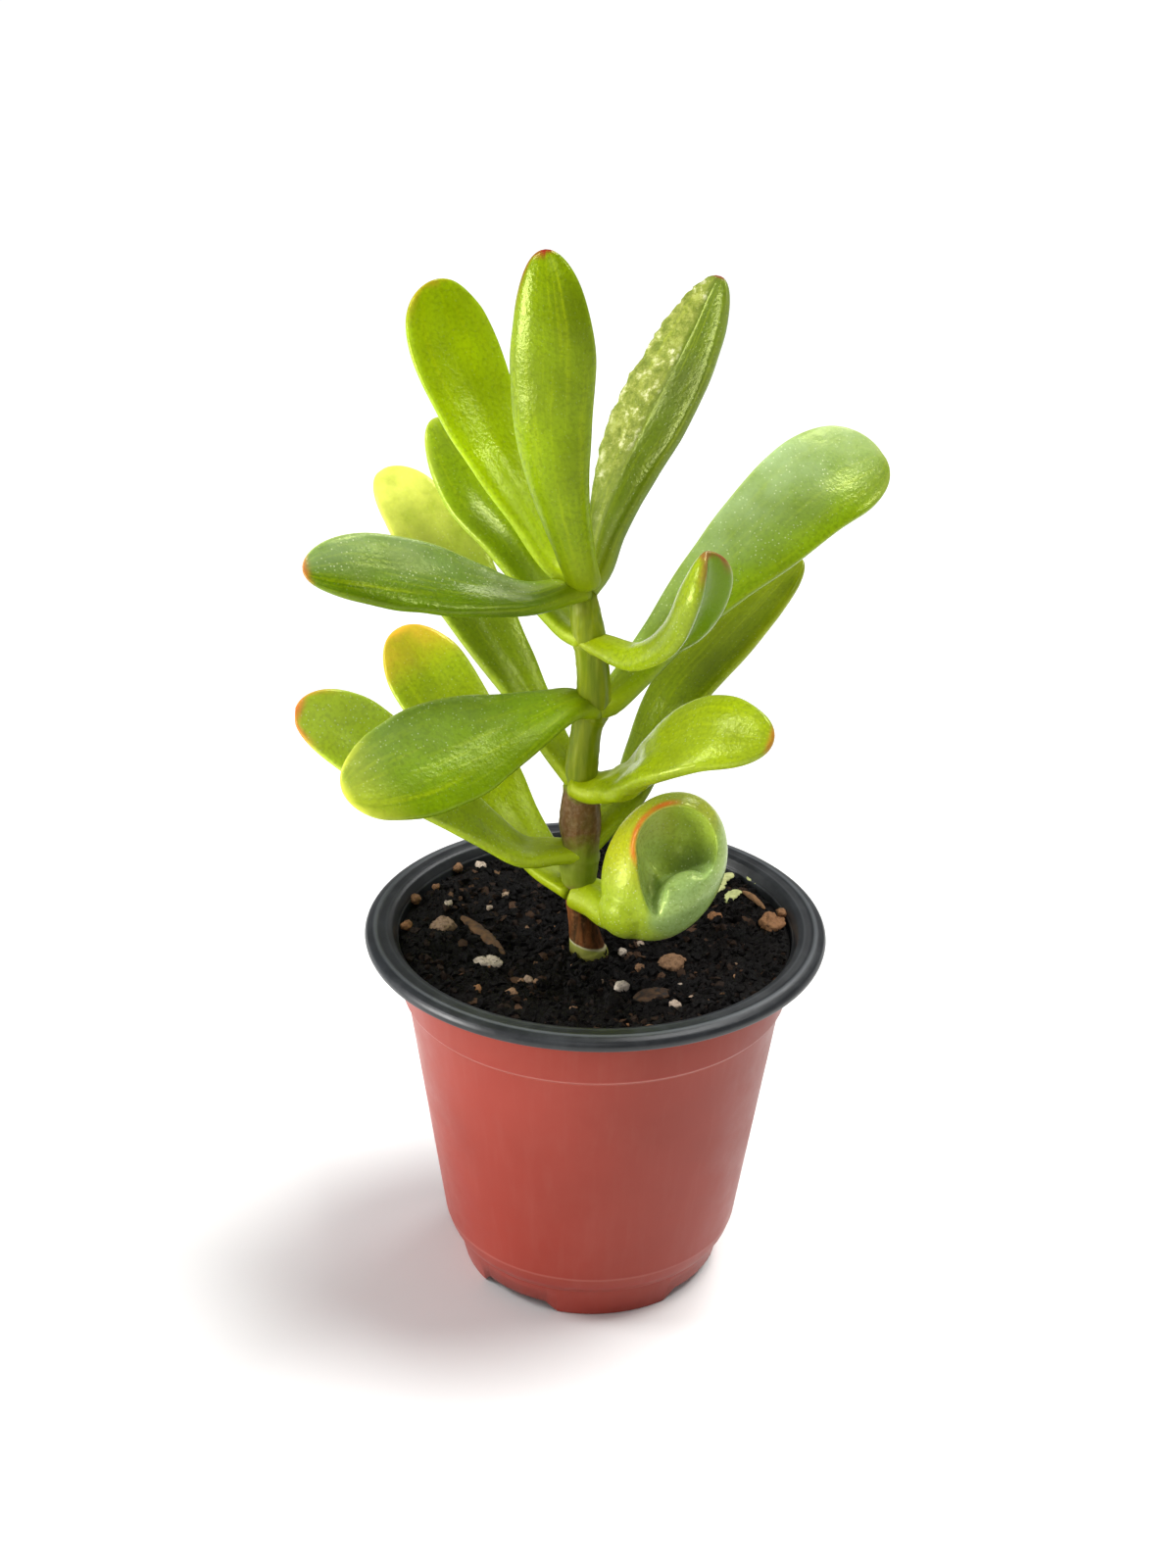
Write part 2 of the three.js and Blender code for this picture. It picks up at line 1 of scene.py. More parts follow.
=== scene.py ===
# A young jade plant with long curled leaves, in its thin plastic nursery pot.
# The frame is in metres, +Z up and the front towards -Y. Sizes below are in millimetres and turned by MM.
import random
from math import copysign, cos, exp, floor, hypot, pi, radians, sin, sqrt
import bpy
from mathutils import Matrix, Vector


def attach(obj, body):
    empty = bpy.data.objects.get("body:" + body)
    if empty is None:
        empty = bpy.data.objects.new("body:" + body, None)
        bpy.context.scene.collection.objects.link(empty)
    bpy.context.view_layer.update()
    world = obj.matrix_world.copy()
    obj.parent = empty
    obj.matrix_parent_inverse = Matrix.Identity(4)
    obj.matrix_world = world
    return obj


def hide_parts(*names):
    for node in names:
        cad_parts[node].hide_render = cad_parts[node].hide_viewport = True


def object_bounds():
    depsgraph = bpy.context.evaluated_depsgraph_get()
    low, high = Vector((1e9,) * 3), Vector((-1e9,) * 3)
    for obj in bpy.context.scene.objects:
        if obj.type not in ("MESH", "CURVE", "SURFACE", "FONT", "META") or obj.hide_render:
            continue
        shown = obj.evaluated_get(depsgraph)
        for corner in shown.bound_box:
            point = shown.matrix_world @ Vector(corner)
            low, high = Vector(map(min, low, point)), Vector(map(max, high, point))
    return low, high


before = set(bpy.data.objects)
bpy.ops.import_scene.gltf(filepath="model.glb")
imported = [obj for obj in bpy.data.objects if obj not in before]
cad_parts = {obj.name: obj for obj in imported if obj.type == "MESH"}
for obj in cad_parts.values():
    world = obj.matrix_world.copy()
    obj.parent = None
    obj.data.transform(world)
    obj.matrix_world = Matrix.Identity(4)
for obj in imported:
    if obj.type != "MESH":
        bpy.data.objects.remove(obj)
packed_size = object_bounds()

from types import SimpleNamespace as Sizes

import bmesh
import bpy
from mathutils import Matrix, Quaternion, Vector, noise

MM = 0.001


# ---- Pot
# A thin nursery pot moulded in two layers of plastic: terracotta outside, black inside, with the black
# layer turned over into a wide lip. It has a step under the lip, a foot ring with four notches and drain holes.
# rim, ridge, mouth, band, corner, foot and sole are radii. The names with _at are the heights they are at.
POT = Sizes(
    rim=52.5, rim_at=88, ridge=50.3, mouth=46.6, skirt=2.9, lip=1.3, wall=1, skin=0.5, seam=0.03, band_top=45.4,
    band_low=44.2, step=1.1, step_at=71.4, corner=34.7, corner_at=13.2, foot=32.1, foot_at=8.2, sole=30, floor=4,
    skin_edge=0.45, liner_edge=0.35, around=192,
)
NOTCH = Sizes(count=4, heading=-33.6, width=21, lift=3, slope=2.5, inner=25, outer=34)
DRAIN = Sizes(count=5, radius=3.5, depth=4, ring=21, facets=32)


def placed(name, data):
    thing = bpy.data.objects.new(name, data)
    bpy.context.scene.collection.objects.link(thing)
    return thing


def mesh_of(points, faces):
    """A mesh of points in millimetres."""
    mesh = bpy.data.meshes.new("mesh")
    mesh.from_pydata([Vector(q) * MM for q in points], [], faces)
    return mesh


def object_of(name, mesh):
    """An object at the origin that holds a mesh under its own name, with its normals outward."""
    tidy = bmesh.new()
    tidy.from_mesh(mesh)
    bmesh.ops.recalc_face_normals(tidy, faces=tidy.faces)
    tidy.to_mesh(mesh)
    tidy.free()
    mesh.name = name
    mesh.shade_smooth()
    return placed(name, mesh)


def angles(count, shift=0):
    """Angles spread evenly round a full turn."""
    return [2 * pi * (k + shift) / count for k in range(count)]


def plain(body):
    """The mesh of a bmesh, which is then done with."""
    mesh = bpy.data.meshes.new("mesh")
    body.to_mesh(mesh)
    body.free()
    return mesh


def turned(profile, around):
    """A closed profile of (radius, height) in millimetres, turned about the pot's axis."""
    body = bmesh.new()
    rows = []
    for radius, height in profile:
        ring = [(radius * cos(a) * MM, radius * sin(a) * MM, height * MM) for a in angles(around)]
        rows.append([body.verts.new(q) for q in ring] if radius else [body.verts.new(ring[0])] * around)
    for low, high in zip(rows, rows[1:] + rows[:1]):
        for k in range(around):
            n = (k + 1) % around
            corners = list(dict.fromkeys([low[k], low[n], high[n], high[k]]))
            if len(corners) > 2:
                body.faces.new(corners)
    return plain(body)


def rounded(profile, cut, steps=3):
    """The profile with each corner off the axis rounded, by up to cut millimetres along each side."""
    made = []
    points = [Vector(p) for p in profile]
    for i, point in enumerate(points):
        before, after = points[i - 1], points[(i + 1) % len(points)]
        if point.x == 0:
            made.append(point)
            continue
        ways = (before - point, after - point)
        start, end = (point + way.normalized() * min(cut, way.length * 0.45) for way in ways)
        for s in range(steps + 1):
            t = s / steps
            made.append(start * (1 - t) ** 2 + point * 2 * t * (1 - t) + end * t * t)
    return made


def finished(thing):
    """The plain mesh of an object with its modifiers applied."""
    shape = thing.evaluated_get(bpy.context.evaluated_depsgraph_get())
    mesh = bpy.data.meshes.new_from_object(shape)
    thing.modifiers.clear()
    thing.data = mesh
    return mesh


def worked(thing, operation, tools):
    """Cuts the tools from a thing or joins them to it, then removes them."""
    for tool in tools:
        step = thing.modifiers.new("step", "BOOLEAN")
        step.operation, step.solver, step.object = operation, "EXACT", tool
    finished(thing)
    for tool in tools:
        bpy.data.objects.remove(tool)


def spin(degrees, axis="Z"):
    return Matrix.Rotation(radians(degrees), 4, axis)


def notch_cutter(index):
    """A wedge across the foot ring, narrower at its top."""
    n = NOTCH
    low, high = n.width / 2 + 1, n.width / 2 - n.slope
    outline = [(-low, -1), (low, -1), (high, n.lift), (-high, n.lift)]
    faces = [(0, 1, 2, 3), (4, 5, 6, 7)] + [(k, (k + 1) % 4, (k + 1) % 4 + 4, k + 4) for k in range(4)]
    mesh = mesh_of([(x, y, z) for x in (n.inner, n.outer) for y, z in outline], faces)
    mesh.transform(spin(n.heading + 360 / n.count * index))
    return object_of("notch", mesh)


def drain_cutter(index):
    """A round bore through both layers of the floor, the last one in its middle."""
    bore = bmesh.new()
    radius, depth = DRAIN.radius * MM, DRAIN.depth * MM
    bmesh.ops.create_cone(bore, cap_ends=True, segments=DRAIN.facets, radius1=radius, radius2=radius, depth=depth)
    mesh = plain(bore)
    ring = DRAIN.ring if index < DRAIN.count - 1 else 0
    mesh.transform(Matrix.Translation(Vector((ring, 0, POT.floor + POT.wall / 2)) * MM))
    mesh.transform(spin(NOTCH.heading + 90 * index))
    return object_of("drain", mesh)


def kept(piece, skin, node):
    """Puts the skin on a finished piece, rides it on the plant and hides the piece of the CAD that it stands for."""
    if skin:
        piece.data.materials.append(skin)
    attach(piece, "root")
    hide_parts(node)


p = POT
skin_floor, floor_top, step_in = p.floor + p.skin, p.floor + p.wall, p.band_low - p.step
outside = [
    (p.sole, 0), (p.foot, p.foot_at), (p.foot + 0.5, p.foot_at + 0.3), (p.foot + 1.6, p.foot_at + 2),
    (p.corner, p.corner_at), (step_in, p.step_at), (p.band_low, p.step_at + 0.8), (p.band_top, p.rim_at - 2.4),
]
skin_outline = [(0, p.floor), (p.sole - p.wall, p.floor), (p.sole - p.wall - 0.2, 0)] + outside
skin_outline += [(r - p.skin, z) for r, z in reversed(outside[3:])]
skin_outline += [(p.foot - p.skin, p.foot_at + 0.3), (p.sole + 0.6, skin_floor), (0, skin_floor)]
pot_skin = object_of("pot_skin", turned(rounded(skin_outline, p.skin_edge), p.around))

lip = [  # radius, and drop below the rim's top
    (p.mouth + 0.2, p.lip), (p.ridge, p.lip), (p.rim - 1.1, 1.9), (p.rim - 1.2, p.skirt), (p.rim - 0.3, p.skirt),
    (p.rim, 1.7), (p.rim - 0.5, 0.7), (p.ridge + 0.5, 0.15), (p.ridge - 0.4, 0), (p.ridge - 1.1, 0.25),
    (p.mouth + 0.7, 0.1),
]
flare = (p.foot - p.sole) / p.foot_at
inside = [
    (p.sole + flare * floor_top - p.wall, floor_top), (p.foot - p.wall, p.foot_at + 0.2),
    (p.foot + 1.5 - p.wall, p.foot_at + 2.2), (p.corner - p.wall, p.corner_at + 0.2),
    (step_in - p.wall, p.step_at + 0.2), (p.band_low - p.wall, p.step_at + 1),
    (p.mouth - 1.5, p.rim_at - 2.2), (p.mouth - 0.4, p.rim_at - 0.5),
]
liner_outline = [(0, skin_floor + p.seam), (p.sole + 0.55, skin_floor + p.seam)]
liner_outline += [(p.foot - p.skin - p.seam, p.foot_at + 0.3)] + [(r - p.skin - p.seam, z) for r, z in outside[3:]]
liner_outline += [(r, p.rim_at - drop) for r, drop in lip] + inside[::-1] + [(0, floor_top)]
pot_liner = object_of("pot_liner", turned(rounded(liner_outline, p.liner_edge), p.around))
notches = [notch_cutter(i) for i in range(NOTCH.count)]
worked(pot_skin, "DIFFERENCE", notches + [drain_cutter(i) for i in range(DRAIN.count)])
worked(pot_liner, "DIFFERENCE", [drain_cutter(i) for i in range(DRAIN.count)])


def colour(hexed):
    """A linear colour from the sRGB one that a paint card gives."""
    parts = [int(hexed[i : i + 2], 16) / 255 for i in (0, 2, 4)]
    return tuple(p / 12.92 if p <= 0.04045 else ((p + 0.055) / 1.055) ** 2.4 for p in parts) + (1,)


def fill(node, inputs):
    """Sets a node's inputs, by name or number, to values or to other nodes' outputs."""
    for key, value in dict(inputs).items():
        if isinstance(value, bpy.types.NodeSocket):
            node.id_data.links.new(value, node.inputs[key])
        else:
            node.inputs[key].default_value = value
    return node


class Desk:
    """A node tree to work on. Its methods add nodes and give back their outputs."""

    def __init__(self, tree):
        self.tree = tree

    def put(self, kind, inputs=(), **settings):
        made = self.tree.nodes.new(kind)
        for key, value in settings.items():
            setattr(made, key, value)
        return fill(made, inputs)

    def out(self, kind, inputs=(), socket=0, **settings):
        return self.put(kind, inputs, **settings).outputs[socket]

    def calc(self, operation, first, *more):
        """One operation on a number, or on several from left to right."""
        for other in more or (0,):
            first = self.out("ShaderNodeMath", {0: first, 1: other}, operation=operation)
        return first

    def plus(self, *parts):
        return self.calc("ADD", *parts)

    def times(self, *parts):
        return self.calc("MULTIPLY", *parts)

    def apart(self, a, b):
        return self.calc("ABSOLUTE", self.calc("SUBTRACT", a, b))

    def ramp(self, value, low, high, to_low=0, to_high=1):
        """Maps low..high to to_low..to_high, held at both ends."""
        return self.out("ShaderNodeMapRange", {0: value, 1: low, 2: high, 3: to_low, 4: to_high})

    def mix(self, share, a, b, blend="MIX"):
        """A colour between a and b, each a hex colour or an output."""
        a, b = (colour(c) if isinstance(c, str) else c for c in (a, b))
        return self.out("ShaderNodeMix", {0: share, 6: a, 7: b}, 2, data_type="RGBA", blend_type=blend)

    def layered(self, tone, *layers):
        """Lays colours over a tone in turn. A layer is a colour and its share, or a colour and what ramp takes."""
        for over, *share in layers:
            tone = self.mix(self.ramp(*share) if len(share) > 1 else share[0], tone, over)
        return tone

    def cloud(self, scale, detail=2, rough=0.5, at=None):
        """Soft noise, of that many waves in a metre, over the piece or over the places given."""
        values = {"Vector": at or self.place, "Scale": scale, "Detail": detail, "Roughness": rough}
        return self.out("ShaderNodeTexNoise", values)

    def drawn_out(self, tall):
        """Places squeezed in height, so that noise over them is drawn out upwards."""
        return self.out("ShaderNodeMapping", {0: self.place, 3: (1, 1, tall)})

    def stored(self, title, output="Fac"):
        """What the mesh stores under a title."""
        return self.out("ShaderNodeAttribute", socket=output, attribute_name=title)

    def surfaced(self, tone, rough, height, strength, depth):
        """Gives the shader its colour, roughness and relief, of that depth in millimetres, and returns the skin."""
        bump = self.out("ShaderNodeBump", {"Height": height, "Strength": strength, "Distance": depth * MM})
        fill(self.shader, {"Base Color": tone, "Roughness": rough, "Normal": bump})
        return self.skin


def material(name, sheen, look=()):
    """The desk of a new material, with its sheen and the look's values set on its shader's own sockets."""
    skin = bpy.data.materials.new(name)
    skin.use_nodes = True
    desk = Desk(skin.node_tree)
    desk.skin, desk.shader = skin, skin.node_tree.nodes["Principled BSDF"]
    fill(desk.shader, {"Specular IOR Level": sheen, **dict(look)})
    desk.place = desk.out("ShaderNodeTexCoord", socket="Object")
    return desk


def group(name, kind, inputs, outputs):
    """The desk of a new node group with named sockets, what comes into it and the node that it ends in."""
    tree = bpy.data.node_groups.new(name, kind)
    for way, sockets in (("INPUT", inputs), ("OUTPUT", outputs)):
        for title, holds in sockets.items():
            tree.interface.new_socket(title, in_out=way, socket_type="NodeSocket" + holds)
    desk = Desk(tree)
    return desk, desk.put("NodeGroupInput").outputs, desk.put("NodeGroupOutput")


# Moulded plastic: broad tone changes, fine upright flow lines, a bloom of dust, pale lines of painted highlight and
# fine scuffs.
inputs = {"Place": "Vector", "Main": "Color", "Deep": "Color", "Dust": "Color"}
inputs.update({"Dust share": "Float", "Roughness": "Float", "Highlight lines": "Float"})
outputs = {"Colour": "Color", "Roughness": "Float", "Height": "Float"}
m, given, result = group("moulded plastic", "ShaderNodeTree", inputs, outputs)
m.place = given["Place"]
broad, dusty, grit = m.cloud(30, 3), m.cloud(90, 6, 0.7), m.cloud(1500)
flow = m.cloud(420, 3, at=m.drawn_out(0.04))
tone = m.layered(
    given["Deep"],
    (given["Main"], broad, 0.3, 0.7),
    (given["Dust"], flow, 0.5, 0.85, 0, 0.04),
    (given["Dust"], m.times(m.ramp(dusty, 0.45, 0.75), given["Dust share"])),
    # Pale lines of painted highlight along the pot's edges.
    (given["Dust"], given["Highlight lines"]),
)
rough = m.plus(given["Roughness"], m.ramp(dusty, 0.3, 0.8, -0.06, 0.14))
relief = m.plus(m.times(flow, 0.6), m.times(grit, 0.4))
fill(result, {"Colour": tone, "Roughness": rough, "Height": relief})
moulded = m.tree


def plastic(name, sheen, look, main, deep, dust, dust_share, roughness, depth, highlight_lines_at):
    """A moulded plastic with a fine relief of that depth in millimetres. The last argument gives (height, half-width,
    share) of each pale line painted round the pot along an edge as a painted highlight, in millimetres."""
    d = material(name, sheen, look)
    height = d.out("ShaderNodeSeparateXYZ", {0: d.place}, "Z")
    highlight_lines = 0
    for at, wide, share in highlight_lines_at:
        highlight_lines = d.plus(d.ramp(d.apart(height, at * MM), 0, wide * MM, share, 0), highlight_lines)
    values = {"Place": d.place, "Main": colour(main), "Deep": colour(deep), "Dust": colour(dust)}
    values.update({"Dust share": dust_share, "Roughness": roughness, "Highlight lines": highlight_lines})
    made = d.put("ShaderNodeGroup", values, node_tree=moulded).outputs
    return d.surfaced(made["Colour"], made["Roughness"], made["Height"], 0.5, depth)


# The pale lines at its step, its corner and its foot are painted highlights along those edges.
terracotta = plastic(
    "terracotta plastic", 0.38, {"Specular Tint": (1, 0.66, 0.56, 1)}, "91352a", "872f24", "d2978a", 0.03, 0.38, 0.012,
    [(72.1, 0.35, 0.5), (71.3, 0.25, 0.15), (13.2, 0.5, 0.16), (8.4, 0.4, 0.12)],
)
# The pale lines on the lip's ridge and its lower edge are painted highlights.
black_plastic = plastic(
    "black plastic", 0.45, {}, "1d2024", "121416", "767b80", 0.1, 0.36, 0.03, [(87.95, 0.1, 0.35), (85.4, 0.25, 0.12)]
)
kept(pot_skin, terracotta, "pot")
kept(pot_liner, black_plastic, "pot")


# ---- Soil
# Dark potting mix, pressed in by hand: a shallow dish under the lip, with crumbs of peat and bark fibre
# on its top and a few pale grains of grit.
SOIL = Sizes(top=79.5, edge_rise=4.3, flat=18, gap=0.3, margin=4, rings=80, around=260)
CRUMB = Sizes(height=1.7, least=0.3, pitch=6.3, reach=4.7, stray=0.6)
ROUGH = Sizes(height=1.0, scale=0.55)


def clamp(x, low=0, high=1):
    return min(max(x, low), high)


def smooth(x):
    t = clamp(x)
    return t * t * (3 - 2 * t)


def cell_value(i, j):
    """A repeatable value from 0 to 1 for a cell of a grid."""
    wave = sin(i * 127.1 + j * 311.7) * 43758.5453
    return wave - floor(wave)


def crumb_height(x, y):
    """The height of the lumps over the soil's level: one rounded lump in each cell of a grid."""
    c = CRUMB
    i, j = floor(x / c.pitch), floor(y / c.pitch)
    inset = (1 - c.stray) / 2
    height = 0
    for u in (i - 1, i, i + 1):
        for v in (j - 1, j, j + 1):
            cx = (u + inset + c.stray * cell_value(u, v)) * c.pitch
            cy = (v + inset + c.stray * cell_value(v, u + 57)) * c.pitch
            away = hypot(x - cx, y - cy) / c.reach
            height = max(height, c.height * (c.least + cell_value(u + 19, v)) * sqrt(max(0, 1 - away * away)))
    return height


def soil_level(x, y):
    """The level of the soil without its lumps."""
    return SOIL.top + SOIL.edge_rise * smooth((hypot(x, y) - SOIL.flat) / (POT.band_top - SOIL.flat))


soil_rim = SOIL.top + SOIL.edge_rise
(low_r, low_z), (high_r, high_z) = inside[5:7]
soil_edge = low_r + (soil_rim - low_z) / (high_z - low_z) * (high_r - low_r) - SOIL.gap
soil_side = [(r - SOIL.gap, max(z, floor_top + SOIL.gap)) for r, z in inside if z < soil_rim]
soil_rows = [(soil_edge * (1 - i / SOIL.rings), soil_rim) for i in range(SOIL.rings)]
soil_mesh = turned([(0, floor_top + SOIL.gap)] + soil_side + soil_rows + [(0, soil_rim)], SOIL.around)
for vertex in soil_mesh.vertices:
    x, y, z = vertex.co / MM
    if z > soil_rim - 0.01:
        shore = smooth((soil_edge - hypot(x, y)) / SOIL.margin)
        fine = ROUGH.height * noise.fractal(Vector((x, y, 0)) * ROUGH.scale, 0.8, 2.2, 4)
        vertex.co.z = (soil_level(x, y) + (crumb_height(x, y) + fine) * shore) * MM
soil = object_of("soil_body", soil_mesh)

d = material("potting mix", 0.17)
tint, fibre, patch = d.stored("tint"), d.cloud(900, 8, 0.7), d.cloud(160, 3)
tone = d.layered(
    "030202",
    ("0b0706", patch, 0.35, 0.7),
    ("4e3828", tint, 0.45, 0.8, 0, 0.9),
    ("9c7d5c", tint, 0.8, 1, 0, 0.9),
    ("34261d", fibre, 0.62, 0.8, 0, 0.4),
)
earth = d.surfaced(tone, d.ramp(fibre, 0.3, 0.7, 0.42, 0.95), fibre, 0.9, 0.5)
kept(soil, earth, "soil")

# Crumbs, dust, bark chips and fibres, strewn over the top. How many lie on a square metre, how large they are in
# millimetres from least to most, how flat they lie, and how pale the palest is.
STREWN = {
    "crumbs": Sizes(count=330000, small=0.5, large=2.8, flat=0.0, seed=11, palest=0.55),
    "dust": Sizes(count=800000, small=0.2, large=0.8, flat=0.0, seed=13, palest=0.55),
    "chips": Sizes(count=46000, small=1.4, large=4.2, flat=0.9, seed=14, palest=0.86),
    "fibres": Sizes(count=170000, small=0.35, large=1.3, flat=0.8, seed=12, palest=1.0),
}
STREW_EDGE = 43.6  # how far out from the pot's axis they lie
CLOD = Sizes(corners=13, seed=3, nearest=0.38, farthest=0.55, chip=0.28)
FIBRE = Sizes(long=5.5, thick=0.28, bow=1.1, joints=4, sides=3)


def clod_mesh(tall=1.0):
    """A rough lump, one unit across: the hull of a few scattered points, pressed flat where tall is small."""
    chance = random.Random(CLOD.seed)
    lump = bmesh.new()
    for _ in range(CLOD.corners):
        way = Vector([chance.uniform(-1, 1) for _ in range(3)]).normalized()
        spot = way * chance.uniform(CLOD.nearest, CLOD.farthest)
        lump.verts.new((spot.x, spot.y * (0.5 + 0.5 * tall), spot.z * tall))
    bmesh.ops.convex_hull(lump, input=lump.verts)
    return plain(lump)


def store(mesh, **values):
    """Stores values for each point of a mesh: one number each, or the four of a colour."""
    for title, numbers in values.items():
        single = len(numbers) == len(mesh.vertices)
        data = mesh.attributes.new(title, "FLOAT" if single else "FLOAT_COLOR", "POINT").data
        data.foreach_set("value" if single else "color", numbers)


def lofted(rings, start, end, **values):
    """A closed skin over rings of points in millimetres, a point at each end, with values stored on it."""
    count = len(rings[0])
    points = [start] + [q for ring in rings for q in ring] + [end]
    last = len(points) - 1
    faces = []
    for k in range(count):
        n = (k + 1) % count
        faces.append((0, 1 + n, 1 + k))
        for low in range(1, last - count, count):
            faces.append((low + k, low + n, low + count + n, low + count + k))
        faces.append((last, last - count + k, last - count + n))
    mesh = mesh_of(points, faces)
    store(mesh, **values)
    return mesh


def fibre_mesh():
    """A bowed three-sided thread that lies along X, thin at both ends."""
    f = FIBRE
    rings = []
    for r in range(f.joints):
        t = (r + 0.5) / f.joints
        centre = Vector(((t - 0.5) * f.long, f.bow * sin(pi * t), 0))
        wide = f.thick * sin(pi * t) ** 0.5
        rings.append([centre + Vector((0, wide * cos(a), wide * sin(a))) for a in angles(f.sides)])
    return lofted(rings, Vector((-f.long / 2, 0, 0)), Vector((f.long / 2, 0, 0)))


def strewing():
    """The Geometry Nodes tree that strews one shape over the soil's top."""
    sizes = ("Per square metre", "Smallest", "Largest", "Flatness", "Lowest", "Edge", "Palest")
    inputs = {"Ground": "Geometry", "Shape": "Object", "Skin": "Material", **dict.fromkeys(sizes, "Float")}
    d, given, result = group("strewing", "GeometryNodeTree", {**inputs, "Seed": "Int"}, {"Pieces": "Geometry"})
    seed = given["Seed"]
    spot = d.put("ShaderNodeSeparateXYZ", {0: d.out("GeometryNodeInputPosition")}).outputs
    level = d.out("ShaderNodeCombineXYZ", {0: spot[0], 1: spot[1]})
    reach = d.out("ShaderNodeVectorMath", {0: level}, "Value", operation="LENGTH")
    on_top = d.times(d.calc("GREATER_THAN", spot[2], given["Lowest"]), d.calc("LESS_THAN", reach, given["Edge"]))
    ground = {"Mesh": given["Ground"], "Selection": on_top, "Density": given["Per square metre"], "Seed": seed}
    points = d.out("GeometryNodeDistributePointsOnFaces", ground, "Points")
    shape = d.out("GeometryNodeObjectInfo", {"Object": given["Shape"]}, "Geometry")
    lean = d.plus(d.times(d.calc("SUBTRACT", 1, given["Flatness"]), 3), 0.35)
    most = d.out("ShaderNodeCombineXYZ", {0: lean, 1: lean, 2: 6.28})
    least = d.out("ShaderNodeVectorMath", {0: most, 3: -1}, operation="SCALE")
    turn = d.out("FunctionNodeRandomValue", {0: least, 1: most, "Seed": seed}, data_type="FLOAT_VECTOR")
    size = d.out("FunctionNodeRandomValue", {2: given["Smallest"], 3: given["Largest"], "Seed": seed}, 1)
    strewn = {"Points": points, "Instance": shape, "Rotation": turn, "Scale": size}
    laid = d.out("GeometryNodeInstanceOnPoints", strewn)
    shade = d.out("FunctionNodeRandomValue", {2: 0, 3: given["Palest"], "Seed": 5}, 1)
    tinted = {"Geometry": laid, "Name": "tint", "Value": shade}
    laid = d.out("GeometryNodeStoreNamedAttribute", tinted, data_type="FLOAT", domain="INSTANCE")
    real = d.out("GeometryNodeRealizeInstances", {"Geometry": laid})
    fill(result, {0: d.out("GeometryNodeSetMaterial", {"Geometry": real, "Material": given["Skin"]})})
    return d.tree


def strew(name, shape_mesh, spec, tree):
    """Strews the shape over the soil's top and returns the plain object that comes of it."""
    shape, made = placed("shape of " + name, shape_mesh), placed(name, soil_mesh.copy())
    nodes = made.modifiers.new("strewing", "NODES")
    nodes.node_group = tree
    values = {
        "Shape": shape, "Skin": earth, "Per square metre": float(spec.count), "Smallest": spec.small * MM,
        "Largest": spec.large * MM, "Flatness": spec.flat, "Lowest": (SOIL.top - 2) * MM,
        "Edge": STREW_EDGE * MM, "Seed": spec.seed, "Palest": spec.palest,
    }
    for item in tree.interface.items_tree:
        if item.name in values:
            nodes[item.identifier] = values[item.name]
    finished(made)
    bpy.data.objects.remove(shape)
    return made


strewing_tree = strewing()
shapes = {"crumbs": clod_mesh(), "dust": clod_mesh(), "chips": clod_mesh(CLOD.chip), "fibres": fibre_mesh()}
for name, shape in shapes.items():
    kept(strew("soil_" + name, shape, STREWN[name], strewing_tree), None, "soil")


# ---- Stones and grit
# Pale lumps of pumice and grit that came with the mix. The four largest lie half sunk in it, the small
# ones are stuck in its top. Their faces are pitted and hold some dark dust.
STONES = {
    "stone_front": Sizes(at=(17.4, -6.8), half=(3.0, 2.6, 2.4), turn=30, shade=0.55),
    "stone_right": Sizes(at=(40.6, 5.6), half=(2.9, 3.2, 2.4), turn=-20, shade=0.75),
    "stone_left": Sizes(at=(-35.2, 3.6), half=(3.1, 2.4, 2.1), turn=15, shade=0.45),
    "stone_pale": Sizes(at=(-24.1, -8.6), half=(3.4, 1.9, 1.6), turn=10, shade=0.15),
}
STONE = Sizes(lump=0.13, ripple=0.08, sunk=0.45, pit=0.12, pit_scale=2.6, knob=0.46, knob_scale=1.2, fineness=5)
# Grains of grit: place, half-size in millimetres, and shade from white (0) to amber (1).
GRIT = [
    (-33.4, 29.7, 1.5, 0.6), (-27.8, 30.9, 1.5, 0.2), (-37.8, 19.2, 1.1, 0.7), (-21.4, 20.7, 1.1, 0.4),
    (-25.1, 15.3, 0.9, 0.3), (-34.5, 11.9, 1.2, 0.2), (-42.2, 13.4, 1.6, 0.7), (-43.2, 0.6, 1.5, 0.8),
    (-25.7, -26.6, 1.3, 0.8), (-18.2, -26.6, 1.5, 0.5), (-14.8, -15.6, 1.3, 0.4), (-12.7, -16.8, 1.0, 0.5),
    (-16.4, -16.2, 0.9, 0.5), (1.4, -15.5, 0.8, 0.4), (6.0, -18.8, 1.9, 0.1), (10.0, -10.3, 1.2, 0.6),
    (17.7, -30.3, 1.3, 0.3), (21.4, -27.2, 0.8, 0.4), (27.7, 12.0, 1.8, 0.8), (43.0, 9.6, 1.5, 0.7),
    (6.3, -1.9, 1.3, 0.1), (10.3, 1.4, 1.2, 0.3), (-8.4, 24.6, 0.9, 0.2), (-16.0, 8.8, 0.8, 0.5),
    (31.6, -16.2, 0.8, 0.6), (-4.4, -31.8, 0.9, 0.5), (33.0, -4.0, 0.7, 0.3), (8.0, 32.0, 1.2, 0.5),
    (20.0, 37.5, 1.0, 0.3), (-10.0, 38.5, 1.1, 0.6), (24.5, 24.0, 1.2, 0.4),
]
FINE_GRIT = Sizes(count=34, small=0.3, large=0.6, seed=7, reach=42, seat=0.8, pit=1.3, round_from=0.7)


